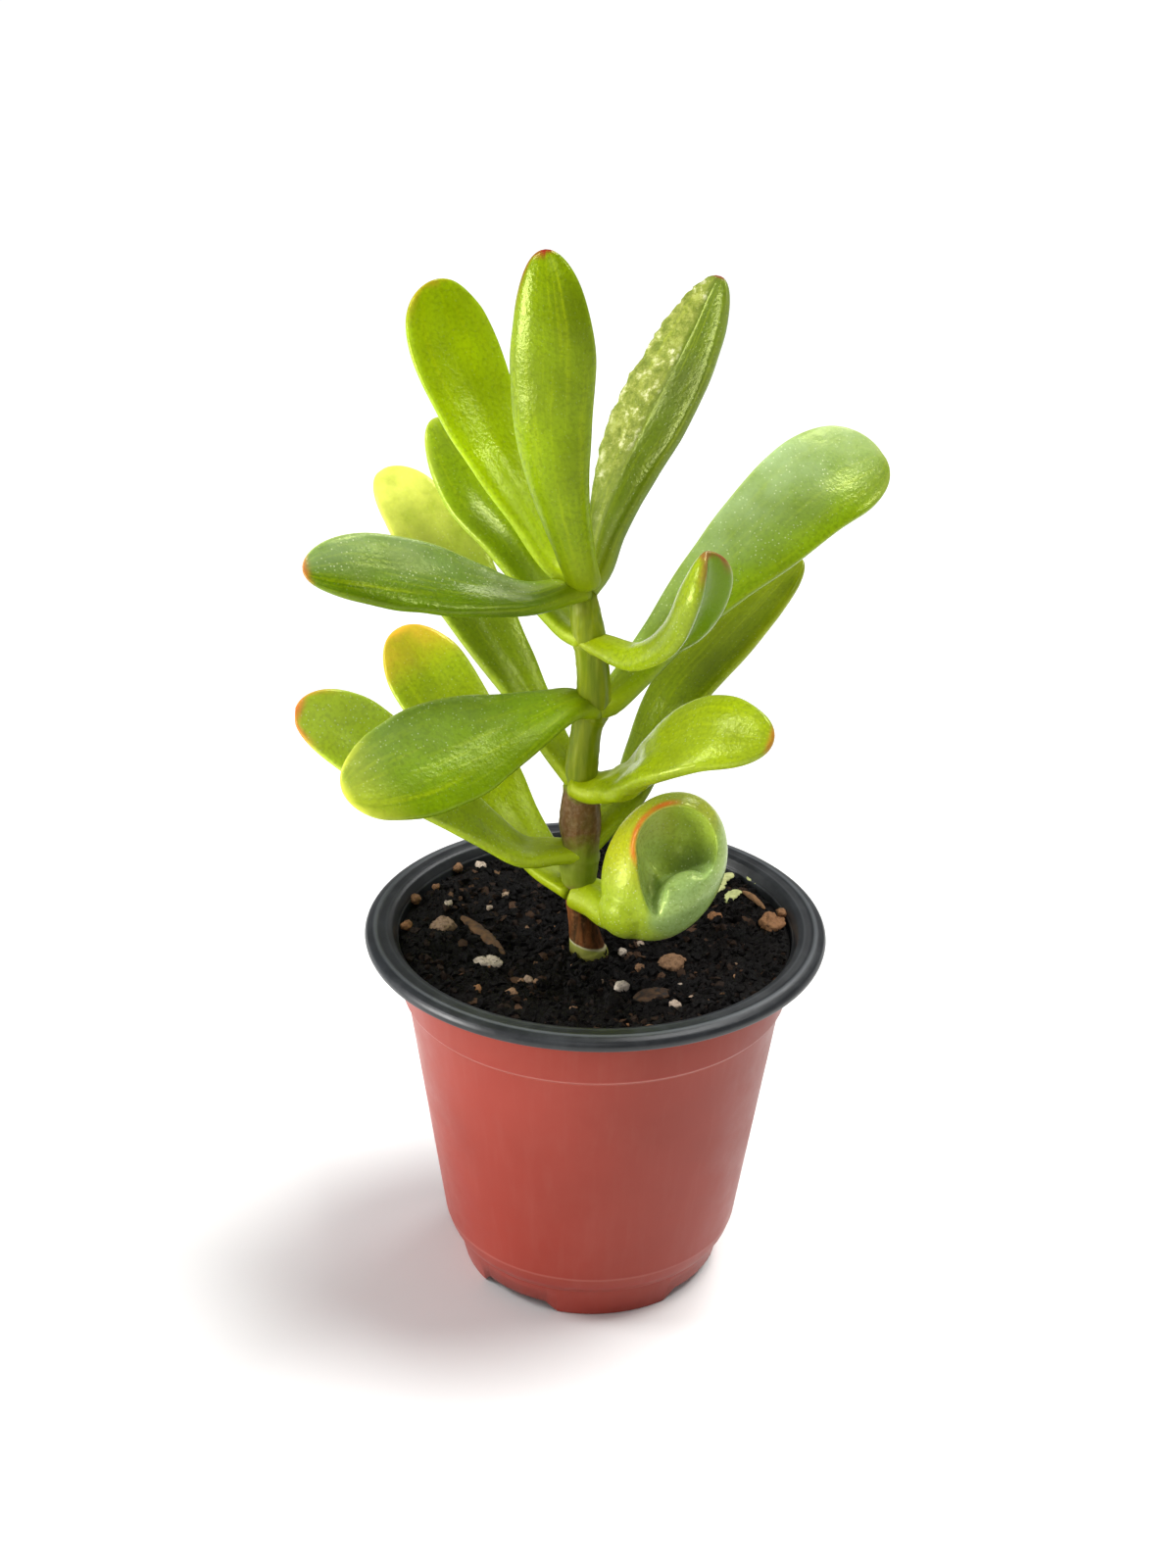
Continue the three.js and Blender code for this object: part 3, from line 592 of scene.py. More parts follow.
def lump(half, at, turn, shade, fineness, pit):
    """A lumpy pitted ball of these half-sizes in millimetres, turned and set in place."""
    ball = bmesh.new()
    bmesh.ops.create_icosphere(ball, subdivisions=fineness, radius=1)
    tone = ball.verts.layers.float.new("shade")
    turning, at = spin(turn).to_3x3(), Vector(at)
    for vertex in ball.verts:
        v = vertex.co.copy()
        size = 1 + STONE.lump * sin(3.3 * v.x + at.x) * cos(2.9 * v.y + at.y) + STONE.ripple * sin(4.1 * v.z)
        size += pit * noise.fractal(v * STONE.pit_scale + at, 0.9, 2.1, 3)
        size += STONE.knob * (0.45 - noise.voronoi(v * STONE.knob_scale + at)[0][0])
        vertex.co = (turning @ Vector([part * size * h for part, h in zip(v, half)]) + at) * MM
        vertex[tone] = shade
    return ball


d = material("grit", 0.3)
shade, grain = d.stored("shade"), d.cloud(1400, 6, 0.7)
tone = d.layered(
    "d6cabb", ("7f6249", shade, 0.0, 0.5), ("8a5c36", shade, 0.5, 1.0), ("3f2d21", grain, 0.5, 0.66, 0.0, 0.75)
)
grit_skin = d.surfaced(tone, d.ramp(grain, 0.3, 0.7, 0.65, 0.9), grain, 0.8, 0.35)
for name, s in STONES.items():
    x, y = s.at
    at = (x, y, soil_level(x, y) + STONE.sunk * s.half[2])
    body = lump(s.half, at, s.turn, s.shade, STONE.fineness, STONE.pit)
    kept(object_of("fine_" + name, plain(body)), grit_skin, name)

chance = random.Random(FINE_GRIT.seed)
grains = list(GRIT)
for _ in range(FINE_GRIT.count):
    away, bearing = FINE_GRIT.reach * sqrt(chance.uniform(0.02, 1)), chance.uniform(0, 2 * pi)
    size = chance.uniform(FINE_GRIT.small, FINE_GRIT.large)
    grains.append((away * cos(bearing), away * sin(bearing), size, chance.uniform(0.1, 1)))
all_grit = bmesh.new()
all_grit.verts.layers.float.new("shade")
for x, y, size, shade in grains:
    at = (x, y, soil_level(x, y) + crumb_height(x, y) * FINE_GRIT.seat + size * STONE.sunk)
    fineness = 3 if size > FINE_GRIT.round_from else 1
    one = lump((size, size * 0.85, size * 0.8), at, x * 40, shade, fineness, STONE.pit * FINE_GRIT.pit)
    all_grit.from_mesh(plain(one))
kept(object_of("soil_grit", plain(all_grit)), grit_skin, "soil")


# ---- Bark, twig and green scraps
# A thin brown sliver of bark, a flat dark piece and a dry twig lie on the mix, with a few crumpled
# pale green scraps at the right, torn from moss. They rest where they fell.
STRIPS = {
    "bark_sliver": Sizes(ends=((-31.4, 9.6), (-20.6, -4.2)), width=3.4, thick=1.2, tone=0.55),
    "bark_flat": Sizes(ends=((8.6, -24.6), (17.4, -22)), width=5.2, thick=1.4, tone=0.15),
    "twig": Sizes(ends=((34.5, 21.5), (39.5, 12.6)), width=1.5, thick=1.4, tone=0.9),
}
STRIP = Sizes(rings=40, facets=24, taper=0.45, arch=0.5, ragged=0.14)
# Scraps: both ends and the width.
SCRAPS = [
    ((29.4, 24.2), (32.4, 29.8), 3.0), ((36.2, 26.0), (40.0, 30.0), 3.2), ((37.6, 24.4), (41.2, 26.2), 2.6),
    ((30.2, 17.2), (34.0, 21.6), 3.2), ((27.6, 21.4), (30.6, 23.8), 2.4),
]
SCRAP = Sizes(thick=0.7, lift=1.6, tone=0.6, ragged=0.5, rings=18, facets=16)


UP = Vector((0, 0, 1))


def strip(ends, width, thick, shape, lift, tone):
    """A flat strip that lies on the mix, thinner towards both ends and ragged along its edges."""
    start, stop = (Vector((x, y, soil_level(x, y) + lift)) for x, y in ends)
    ahead = (stop - start).normalized()
    side = UP.cross(ahead)
    rings = []
    for r in range(shape.rings):
        along = (r + 0.5) / shape.rings
        full = sin(pi * along) ** STRIP.taper
        centre = start.lerp(stop, along) + UP * (STRIP.arch * sin(pi * along))
        ring = []
        for a in angles(shape.facets, 0.5):
            way = side * cos(a) * width / 2 + UP * (sin(a) * thick / 2)
            rag = 1 + shape.ragged * noise.fractal((centre + way) * 0.9, 0.9, 2.1, 3)
            ring.append(centre + way * full * rag)
        rings.append(ring)
    return lofted(rings, start, stop, tone=[tone] * (shape.rings * shape.facets + 2))


def dry_skin(name, dark, light):
    """Dry plant matter with a grain, from dark to light by each piece's tone."""
    d = material(name, 0.3)
    tone, grain = d.stored("tone"), d.cloud(800, 6)
    blend = d.plus(tone, d.ramp(grain, 0.3, 0.7, -0.35, 0.35))
    mixed = d.layered(dark, (light, blend, 0, 1))
    return d.surfaced(mixed, d.ramp(grain, 0.3, 0.7, 0.55, 0.85), grain, 0.8, 0.3)


bark_skin = dry_skin("dry bark", "231a15", "7a5a3c")
scrap_skin = dry_skin("green scraps", "6f7a3e", "c6c98e")
for name, s in STRIPS.items():
    mesh = strip(s.ends, s.width, s.thick, STRIP, s.thick, s.tone)
    kept(object_of("fine_" + name, mesh), bark_skin, name)
scraps = bmesh.new()
for near, far, width in SCRAPS:
    scraps.from_mesh(strip((near, far), width, SCRAP.thick, SCRAP, SCRAP.lift, SCRAP.tone))
kept(object_of("soil_scraps", plain(scraps)), scrap_skin, "soil")


# ---- Stem
# One fleshy stem in joints, each a little swollen where its pair of leaves grows. Its foot wears a papery
# sheath, its lower half is brown bark with green patches, its upper half olive green with pale stripes.
STEM = [  # x, y, z, radius
    (-1.0, -2.2, 50, 3.4), (-1.3, -2.2, 72, 3.8), (-1.4, -2.0, 79.5, 4.6), (-1.9, -1.8, 82.2, 3.9),
    (-3.0, -1.6, 88.5, 3.1), (-3.9, -1.5, 94.5, 3.1), (-4.0, -1.5, 99, 3.9), (-4.0, -1.5, 103.5, 4.4),
    (-3.6, -1.5, 108.4, 4.2), (-3.9, -1.5, 113.3, 4.7), (-3.9, -1.5, 118.5, 4.3), (-3.9, -1.5, 123, 3.7),
    (-3.8, -1.5, 127.7, 3.7), (-2.9, -1.2, 136, 3.4), (-1.6, -0.9, 142, 3.9), (-1.6, -0.7, 148.4, 3.6),
    (-2.4, -0.5, 156.2, 3.6), (-3.4, -0.5, 162, 3.4), (-3.9, -0.5, 167, 2.7), (-4.2, -0.5, 171, 1.6),
]
RIND = Sizes(around=64, between=10, ridge=0.12, wrinkle=0.14, scar=0.28, scar_half=0.45, scar_tilt=0.5)
SCARS = (95.5, 105.5, 122.5, 139.8, 155.6)  # heights of the thin rings where the pairs of leaves clasp the stem


def through(points, t):
    """The place at t, counted in points, on a smooth line through all of them (tension one half)."""
    i = min(int(t), len(points) - 2)
    w = t - i
    a, b = points[i], points[i + 1]
    before = points[i - 1] if i > 0 else a * 2 - b
    after = points[i + 2] if i + 2 < len(points) else b * 2 - a
    leave, reach = (b - before) * 0.5, (after - a) * 0.5
    return a + leave * w + (b * 3 - a * 3 - leave * 2 - reach) * w**2 + (a * 2 - b * 2 + leave + reach) * w**3


stem_line = [Vector(s) for s in STEM]
last = len(STEM) - 1
stem_rings = []
for step in range(last * RIND.between + 1):
    t = step / RIND.between
    here = through(stem_line, t)
    ahead = (through(stem_line, min(t + 0.05, last)) - through(stem_line, max(t - 0.05, 0))).to_3d().normalized()
    side = (Vector((1, 0, 0)) - ahead * ahead.x).normalized()
    rear = ahead.cross(side)
    ring = []
    for a in angles(RIND.around):
        spot = side * cos(a) + rear * sin(a)
        grain = RIND.ridge * noise.noise(Vector((spot.x * 3, spot.y * 3, here.z * 0.05)))
        grain += RIND.wrinkle * noise.noise(Vector((spot.x * 2, spot.y * 2, here.z * 0.9)))
        for scar in SCARS:
            tilt = scar + RIND.scar_tilt * sin(2 * a)
            grain += RIND.scar * exp(-(((here.z - tilt) / RIND.scar_half) ** 2))
        ring.append(here.to_3d() + spot * (here.w + grain))
    stem_rings.append(ring)
foot, crown = stem_line[0].to_3d() - UP, stem_line[-1].to_3d() + UP * STEM[-1][3]
stem = object_of("stem_body", lofted(stem_rings, foot, crown))

flesh = {"Specular Tint": (0.95, 1, 0.5, 1), "Subsurface Weight": 0.1, "Subsurface Radius": (0.002, 0.002, 0.0006)}
d = material("stem rind", 0.34, flesh)
place = d.put("ShaderNodeSeparateXYZ", {0: d.place}).outputs
height = place["Z"]
stripes, patches, flecks = d.cloud(700, 4, at=d.drawn_out(0.1)), d.cloud(190, 3), d.cloud(900, 5, 0.65)
wander = d.plus(height, d.ramp(patches, 0.25, 0.75, -3 * MM, 3 * MM))
sloping = d.plus(height, d.times(place["X"], 0.25))
green_rind = d.layered("637400", ("858f14", stripes, 0.38, 0.7), ("7a6c22", patches, 0.55, 0.8, 0, 0.4))
bark_rind = d.layered("4e2f16", ("735030", stripes, 0.34, 0.7), ("8a6f55", flecks, 0.45, 0.7, 0, 0.6))
bark_rind = d.layered(bark_rind, ("5e5a2c", patches, 0.5, 0.7, 0, 0.5))
sheath = d.layered("301608", ("7a4420", stripes, 0.36, 0.7), ("a8744a", flecks, 0.5, 0.75, 0, 0.35))
green_band = d.times(d.ramp(wander, 96 * MM, 99 * MM), d.ramp(wander, 107 * MM, 112 * MM, 1, 0), 0.75)
living = d.layered(bark_rind, (green_rind, wander, 119.5 * MM, 123.5 * MM), ("758c14", green_band))
collar = d.layered("4e4614", ("878c3e", sloping, 80 * MM, 82.6 * MM))
tone = d.layered(
    sheath,
    (living, wander, 94 * MM, 96.5 * MM),
    (collar, sloping, 83.1 * MM, 82.6 * MM),
    ("c4bf98", d.apart(sloping, 82.9 * MM), 0.1 * MM, 0.35 * MM, 0.7, 0),
)
rind = d.surfaced(tone, d.ramp(height, 100 * MM, 130 * MM, 0.6, 0.38), stripes, 0.6, 0.3)
kept(stem, rind, "stem")


# ---- Leaves
# Fourteen fleshy leaves in seven opposite pairs. Each is a thick blade with blunt edges, gently curled,
# grown from a narrow clasping base. The skin is green with a grey bloom, and reddens at tips and edges. On some
# leaves the bloom is leaned to one side, and there it is a painted highlight.
NODES = {
    "a": (-4.0, -1.5, 97), "b": (-3.8, -1.5, 106.5), "c": (-3.9, -1.5, 123.5), "d": (-1.8, -0.9, 141.5),
    "e": (-2.6, -0.5, 157), "f": (-3.9, -0.5, 169), "g": (-4.2, -0.5, 170.5),
}
# heading: the bearing it leaves the stem on. route: its middle line as (outward, upward) from its node, and
# sway: how far each point of it lies to the left. neck, broad: its width at the stem and at its broadest,
# broad_at of the way along. curl: how far its edges turn up towards each other, roll: its turn about the middle
# line, at the stem, midway and at the tip. green: its own green, bloom: how much grey bloom lies on
# it, which where it is leaned to one side is also a painted highlight. blush: the colour that its tip turns, and
# red: how strongly, from where along it, on which side (1 left, -1 right, 0 both) and how far in from the rim.
# silver: how far the left half of its face has gone silvery and wrinkled, with painted glints on the
# wrinkles. under: how grey its right underside is. hollow: how much painted shade darkens its rolled-in side.
# lean: how much more of the bloom lies on its left (1) or right (-1) side; the side it leans to is the lit one,
# and the pale bloom there is a painted highlight. lumps: how far its base stands out in soft lumps, in millimetres.
PLAIN = dict(thick=4.5, roll=(0, 0, 0), blunt=2.4, sway=(0,) * 6, silver=0, under=0, hollow=0, lean=0, lumps=0)
LEAVES = {
    "leaf_a_front": dict(
        heading=325, route=[(5.5, -0.5), (11, -1.5), (17, 2), (21, 10)],
        neck=8.5, broad=14, broad_at=0.6, thick=8, curl=(60, 60, 60),
        green="a6bc08", bloom=0.4, blush="d85c28", red=(0, 1, 0, 0),
    ),
    "leaf_a_back": dict(
        heading=140, route=[(10, 3), (19.5, 10), (31, 22), (41, 33.5), (56.5, 47.5)],
        neck=10, broad=20, broad_at=0.75, curl=(20, 30, 20), roll=(0, -20, -30),
        green="96ac00", bloom=0.1, blush="efb03a", red=(0.9, 0.8, 0, 0.6),
    ),
    "leaf_b_front": dict(
        heading=195, route=[(6, 0.5), (14, 1.5), (24.5, 10), (39.5, 23.5), (51.5, 34), (62.5, 40.5)],
        neck=8, broad=17.5, broad_at=0.75, curl=(40, 60, 20), roll=(0, -50, -60),
        green="b2ca10", bloom=0.4, blush="d8603a", red=(0.9, 0.88, 0, 0),
    ),
    "leaf_b_back": dict(
        heading=38, route=[(13, 10), (18, 18.5), (26, 30.5), (38, 40), (51, 49), (62, 56.5)],
        neck=7, broad=18, broad_at=0.6, curl=(20, 20, 20),
        green="748a00", bloom=0.05, blush="c2cc1c", red=(0.5, 0.4, 0, 0.4),
    ),
    "leaf_c_front": dict(
        heading=325, route=[(4, 0), (12, 4), (21, 13), (33, 20.5), (48.5, 23.5)],
        neck=10, broad=19, broad_at=0.55, thick=5.6, curl=(40, 40, 20), roll=(0, 40, 50),
        green="92a600", bloom=0.1, blush="c0452f", red=(0.9, 0.968, 0, 0), lumps=0.9,
    ),
    "leaf_c_back": dict(
        heading=140, route=[(7, 6), (15, 15), (28.5, 29), (40.5, 42.5), (52.5, 53), (61, 58)],
        neck=7, broad=18, broad_at=0.7, curl=(30, 40, 30), roll=(0, -20, -30),
        green="869e00", bloom=0.2, blush="dde062", red=(0.95, 0.5, 0, 0.9),
    ),
    # Its bloom leans onto its upper edge, where it is a painted highlight.
    "leaf_d_front": dict(
        heading=216, route=[(5, 2), (12, 1.5), (26.5, -0.5), (41.5, -2.5), (53.5, -4.3), (62.3, -4.8)],
        neck=8, broad=24, broad_at=0.62, thick=5, curl=(20, 20, 20), roll=(-10, -50, -40),
        green="769600", bloom=0.22, blush="d4d84c", red=(0.8, 0.78, 0, 0.4), lean=-0.9,
    ),
    # Its grey bloom leans onto its upper left, where it is also a painted highlight.
    "leaf_d_back": dict(
        heading=32, route=[(5, 1), (15.5, 10), (28, 21.2), (43.5, 32.5), (58.5, 42), (75.5, 46)],
        neck=8, broad=24, broad_at=0.8, thick=5, curl=(30, 30, 20), roll=(0, 40, 40),
        green="7f9e04", bloom=1.05, blush="b8c46a", red=(0.4, 0.8, 0, 0.1), lean=0.6,
    ),
    # Its rolled-in side is darkened with painted shade.
    "leaf_e_front": dict(
        heading=318, route=[(4, 0), (13.5, 1), (23, 9), (28.5, 20.5), (31.5, 28)],
        neck=7, broad=19, broad_at=0.75, thick=5, curl=(-60, -230, -150), roll=(0, 8, 8),
        green="8a9e02", bloom=0.15, blush="8f2a34", red=(0.85, 0.88, 0, 0), hollow=0.85,
    ),
    "leaf_e_back": dict(
        heading=140, route=[(6, 1.5), (13.5, 7.5), (23.5, 17.5), (35, 26), (46, 39.5)],
        neck=7, broad=15, broad_at=0.6, curl=(30, 40, 30), roll=(0, -20, -30),
        green="90ac00", bloom=0.1, blush="b9c24a", red=(0.5, 0.7, 0, 0.1),
    ),
    # Its bloom leans onto its upper edge, where it is a painted highlight.
    "leaf_f_front": dict(
        heading=207, route=[(5, -0.2), (14.5, -0.3), (28, 4), (41, 8.6), (53.5, 12), (63, 13)],
        neck=7, broad=17.2, broad_at=0.6, thick=5, curl=(30, 40, 30), roll=(0, -50, -50),
        green="5e7e00", bloom=0.5, blush="c0583a", red=(0.8, 0.965, 0, 0.2), lean=-0.95,
    ),
    "leaf_f_back": dict(
        heading=38, route=[(3.5, 4), (6, 12.5), (12, 25), (21.3, 39), (29, 51.5), (34.6, 62)],
        neck=6.5, broad=20, broad_at=0.55, thick=5, curl=(30, 50, 50), roll=(0, 10, 10), blunt=2,
        green="5c7000", bloom=0.15, blush="8e2c34", red=(1, 0.988, 0, 0.6), silver=1, under=0.3,
    ),
    "leaf_g_front": dict(
        heading=270, route=[(3.5, 2), (5.5, 9), (7, 24), (7, 39), (7, 54), (6, 71.5)],
        sway=(0, -2, -5.5, -7, -7, -8.5), neck=7, broad=18, broad_at=0.66, curl=(50, 60, 30), blunt=2,
        green="809a00", bloom=0, blush="8e1f1c", red=(1, 0.8, -1, 0),
    ),
    "leaf_g_back": dict(
        heading=145, route=[(6.5, 2), (13.5, 10), (23.5, 24), (31.8, 38), (37.6, 50), (39, 58.5)],
        neck=7, broad=20.4, broad_at=0.75, curl=(30, 30, 20), roll=(0, -20, -30),
        green="a4c200", bloom=0, blush="c8542c", red=(0.35, 0.86, 1, 0),
    ),
}
LEAF = Sizes(
    rings=72, section=48, crowd=1.45, thin_from=0.75, thin_power=2.5, edge_power=0.8, top_share=0.8,
    bottom_share=1.2, curl_room=0.85, groove=0.16, groove_width=0.3, ripple=0.36, ripple_scale=0.11,
    wrinkle=0.7, wrinkle_scale=0.5, lump_scale=0.3, line_steps=400,
)
REACH = [Vector(corner) / MM for corner in packed_size]  # no blade reaches past the whole plant's own size
HAIR = 0.0001


def swept(values, t):
    """A value from the first to the last entry, drawn towards the middle one on the way."""
    return (1 - t) ** 2 * values[0] + 2 * t * (1 - t) * values[1] + t * t * values[2]


def middle_line(leaf):
    """The leaf's middle line as a function: the place and the direction at a share of its length."""
    bearing, steps = radians(leaf.heading), LEAF.line_steps
    out, left = Vector((cos(bearing), sin(bearing), 0)), Vector((-sin(bearing), cos(bearing), 0))
    root = Vector(leaf.node)
    points = [root] + [root + out * o + left * l + UP * u for (o, u), l in zip(leaf.route, leaf.sway)]
    spots = [through(points, (len(points) - 1) * s / steps) for s in range(steps + 1)]
    reached = [0]
    for a, b in zip(spots, spots[1:]):
        reached.append(reached[-1] + (b - a).length)

    def at(along):
        goal = along * reached[-1]
        i = clamp(sum(r < goal for r in reached) - 1, 0, steps - 1)
        part = (goal - reached[i]) / (reached[i + 1] - reached[i])
        return spots[i].lerp(spots[i + 1], part), (spots[i + 1] - spots[i]).normalized()

    return at


def held(spot):
    """The place itself, or the nearest one a hair inside the whole plant's size."""
    return Vector(clamp(v, low + HAIR, high - HAIR) for v, low, high in zip(spot, *REACH))


def leaf_section(leaf, centre, across, face, along):
    """One section of a leaf: a flattened ring, bent about an axis over or under its face."""
    closing = clamp((along - leaf.broad_at) / (1 - leaf.broad_at))
    spread = leaf.neck + (leaf.broad - leaf.neck) * smooth(along / leaf.broad_at)
    width = spread * sqrt(1 - closing**leaf.blunt)
    thinning = clamp((along - LEAF.thin_from) / (1 - LEAF.thin_from))
    depth = leaf.thick * sqrt(1 - thinning**LEAF.thin_power) / 2
    bend = width / radians(swept(leaf.curl, along))
    room = LEAF.curl_room * abs(bend)
    ring = []
    for a in angles(LEAF.section):
        angle = cos(a) * width / 2 / bend
        rise = copysign(abs(sin(a)) ** LEAF.edge_power, sin(a))
        off = depth * rise * (LEAF.top_share if rise > 0 else LEAF.bottom_share)
        if rise > 0:
            off *= 1 - LEAF.groove * exp(-((cos(a) / LEAF.groove_width) ** 2))
        out = bend - clamp(off, -room, room)
        ring.append(centre + across * out * sin(angle) + face * (bend - out * cos(angle)))
    return ring


def blushing(leaf, along, side):
    """How far the leaf's rim has turned colour at a place on its skin."""
    amount, start, chosen, inward = leaf.red
    rim = max(smooth((abs(side) - 0.72) / 0.25), smooth((along - 0.97) / 0.025))
    if chosen and side * chosen < 0:
        rim *= smooth((along - 0.985) / 0.015)
    return amount * smooth((along - start) / max(1 - start, 0.001)) * (rim + (1 - rim) * inward)


def silvering(along, side):
    """How silvery a place on a dried-out face is, and so how many painted glints lie on it: most in a band left of its
    middle, least near the stem.
    """
    return smooth((side - 0.02) / 0.2) * smooth(along * 2.2 - 0.2) * smooth((1.04 - along) * 8)


def leaf_mesh(leaf):
    """The blade. Its shares along and across, and its colours, are stored on it for its skin."""
    at = middle_line(leaf)
    spot, before = at(0)
    face = (UP - before * before.z).normalized()
    rings, shares = [], [(0.0, 0.0, 1.0)]
    for r in range(LEAF.rings):
        along = 1 - (1 - r / LEAF.rings) ** LEAF.crowd
        centre, ahead = at(along)
        face = before.rotation_difference(ahead) @ face
        before = ahead
        rolled = Quaternion(ahead, radians(swept(leaf.roll, along))) @ face
        swell = LEAF.ripple * smooth(along * 4) * smooth((1 - along) * 6)
        lumps = leaf.lumps * smooth(along * 6) * smooth((0.6 - along) * 3)
        ring = []
        for q, a in zip(leaf_section(leaf, centre, rolled.cross(ahead), rolled, along), angles(LEAF.section)):
            q += (q - centre).normalized() * swell * noise.noise(q * LEAF.ripple_scale)
            q += (q - centre).normalized() * lumps * noise.noise(q * LEAF.lump_scale)
            dried = LEAF.wrinkle * leaf.silver * silvering(along, cos(a))
            q += (q - centre).normalized() * dried * noise.fractal(q * LEAF.wrinkle_scale, 0.8, 2.1, 3)
            ring.append(held(q))
            shares.append((along, cos(a), sin(a)))
        rings.append(ring)
    shares.append((1.0, 0.0, 0.0))
    alongs, sides, uppers = zip(*shares)
    return lofted(
        rings, spot, held(at(1)[0]), along=alongs, side=sides, upper=uppers,
        red=[blushing(leaf, along, side) for along, side, _ in shares],
        # The bloom, drawn to one side by lean: on the side it leans to, it is a painted highlight.
        bloom=[leaf.bloom * 2 * smooth(0.5 + 0.8 * leaf.lean * side) for side in sides],
        silver=[leaf.silver * silvering(along, side) for along, side, _ in shares],
        under=[leaf.under * smooth(0.3 - upper) * smooth(-side * 1.6) for _, side, upper in shares],
        # Painted shade on the rolled-in side of a curled leaf.
        hollow=[leaf.hollow * smooth(0.6 - 1.6 * upper) * smooth(along * 2.4 - 0.7) for along, _, upper in shares],
        green=colour(leaf.green) * len(shares),
        blush=colour(leaf.blush) * len(shares),
    )


# The blade of the lowest front leaf is rolled into a cup. Its body and its hollows are ovals, each with its
# offset from the cup's centre, its half-sizes (right, backward, up) and its lean. The lobe is the blade's own edge
# that swells up into the hollow at its lower right.
CUP = Sizes(
    centre=(14.7, -16.5, 110.7), pitch=25.4, segments=64, rows=40, grain=0.3, ease=26, lobe_ease=60,
    bodies=[((0, 0, 0), (12.9, 10.5, 17), 25), ((-7.4, 0.5, -9.6), (6.8, 8, 6.4), 0)],
    hollows=[((2.5, -8, 4.4), (8.7, 10, 9), 10), ((-2.9, -9, -1.6), (2.7, 7.5, 9.2), -10)],
    lobe=((3.4, -4.6, -6.2), (4.6, 4.6, 7), 48),
)
# The cup's colours. deep is painted shade, low in its hollow near the lobe, and wall is painted light on the hollow's
# left side; the rest are its own. Its rim turns the leaf's blush.
CUP_TONES = dict(hollow="b4cc40", lobe="96b26a", yellow="c4c408", deep="405c00", wall="cde680", olive="868200")


def oval(at, half, lean):
    """One oval of the cup, with its long axis leaning to the right and its front tipped up."""
    ball = bmesh.new()
    bmesh.ops.create_uvsphere(ball, u_segments=CUP.segments, v_segments=CUP.rows, radius=1)
    mesh = plain(ball)
    shaping = (Matrix.Diagonal((*half, 1)), spin(lean, "Y"), Matrix.Translation(at))
    for step in (*shaping, spin(-CUP.pitch, "X"), Matrix.Translation(CUP.centre), Matrix.Scale(MM, 4)):
        mesh.transform(step)
    return object_of("oval", mesh)


def depth_in(spot, at, half, lean):
    """How far out a place is from an oval's centre, 1 on its skin."""
    turned_back = spin(CUP.pitch, "X") @ (spot - Vector(CUP.centre)) - Vector(at)
    return Vector([part / h for part, h in zip(spin(-lean, "Y") @ turned_back, half)]).length


def eased(thing, times, group=""):
    """Smooths an object's mesh, or the part of it that is in a group."""
    ease = thing.modifiers.new("ease", "SMOOTH")
    ease.factor, ease.iterations, ease.vertex_group = 0.5, times, group
    return finished(thing)


def cup_mesh(leaf):
    """The stalk and the ovals joined and cut, then drawn over with one even skin. Its colours follow its hollow,
    with painted light on its left wall and painted shade low at its right, its lobe at the lower right and its inner
    rim."""
    cup = object_of("cup", leaf_mesh(leaf))
    worked(cup, "UNION", [oval(*body) for body in CUP.bodies])
    worked(cup, "DIFFERENCE", [oval(*hollow) for hollow in CUP.hollows])
    worked(cup, "UNION", [oval(*CUP.lobe)])
    skin = cup.modifiers.new("skin", "REMESH")
    skin.mode, skin.voxel_size = "VOXEL", CUP.grain * MM
    mesh = eased(cup, CUP.ease)
    lobe = cup.vertex_groups.new(name="lobe")
    for vertex in mesh.vertices:
        near = smooth((1.6 - depth_in(vertex.co / MM, *CUP.lobe)) / 0.4)
        if near > 0.01:
            lobe.add([vertex.index], near, "REPLACE")
    mesh = eased(cup, CUP.lobe_ease, "lobe")
    bpy.data.objects.remove(cup)

    t = Sizes(**{part: Vector(colour(hexed)) for part, hexed in {**CUP_TONES, "base": leaf.green}.items()})
    greens, reds, alongs = [], [], []
    for vertex in mesh.vertices:
        spot = vertex.co / MM
        x, _, z = spot - Vector(CUP.centre)
        inner = min(depth_in(spot, *hollow) for hollow in CUP.hollows)
        right_low = smooth((x - z + 2) / 7) * smooth((x + 6) / 10)
        left_high = smooth((3 - x) / 10) * smooth((z + 4) / 10)
        right_high = smooth((x + 3) / 7) * smooth((z - 3) / 7)
        on_lobe = smooth((1.5 - depth_in(spot, *CUP.lobe)) / 0.3)
        in_hollow = smooth((1.07 - inner) / 0.1) * (1 - on_lobe)
        lip = smooth(1 - abs(inner - 1.1) / 0.13) * smooth((z - 3) / 4) * smooth((4.5 - x) / 5)
        outer = t.base.lerp(t.yellow, 0.8 * left_high).lerp(t.olive, 0.65 * right_high).lerp(t.lobe, 0.8 * right_low)
        # Inside the hollow: painted light on the left wall, painted shade low at the right above the lobe.
        inner_tone = t.hollow.lerp(t.wall, smooth((2 - x) / 5)).lerp(t.deep, smooth((x * 0.6 - z + 3) / 8))
        greens.extend(outer.lerp(inner_tone, in_hollow).lerp(t.lobe, 0.8 * on_lobe))
        reds.append(0.85 * lip)
        alongs.append(clamp((spot.x + 4) / 30) if x < -6 else 0.6)
    count = len(reds)
    store(mesh, green=greens, blush=colour(leaf.blush) * count, red=reds, along=alongs, bloom=[leaf.bloom] * count)
    return mesh


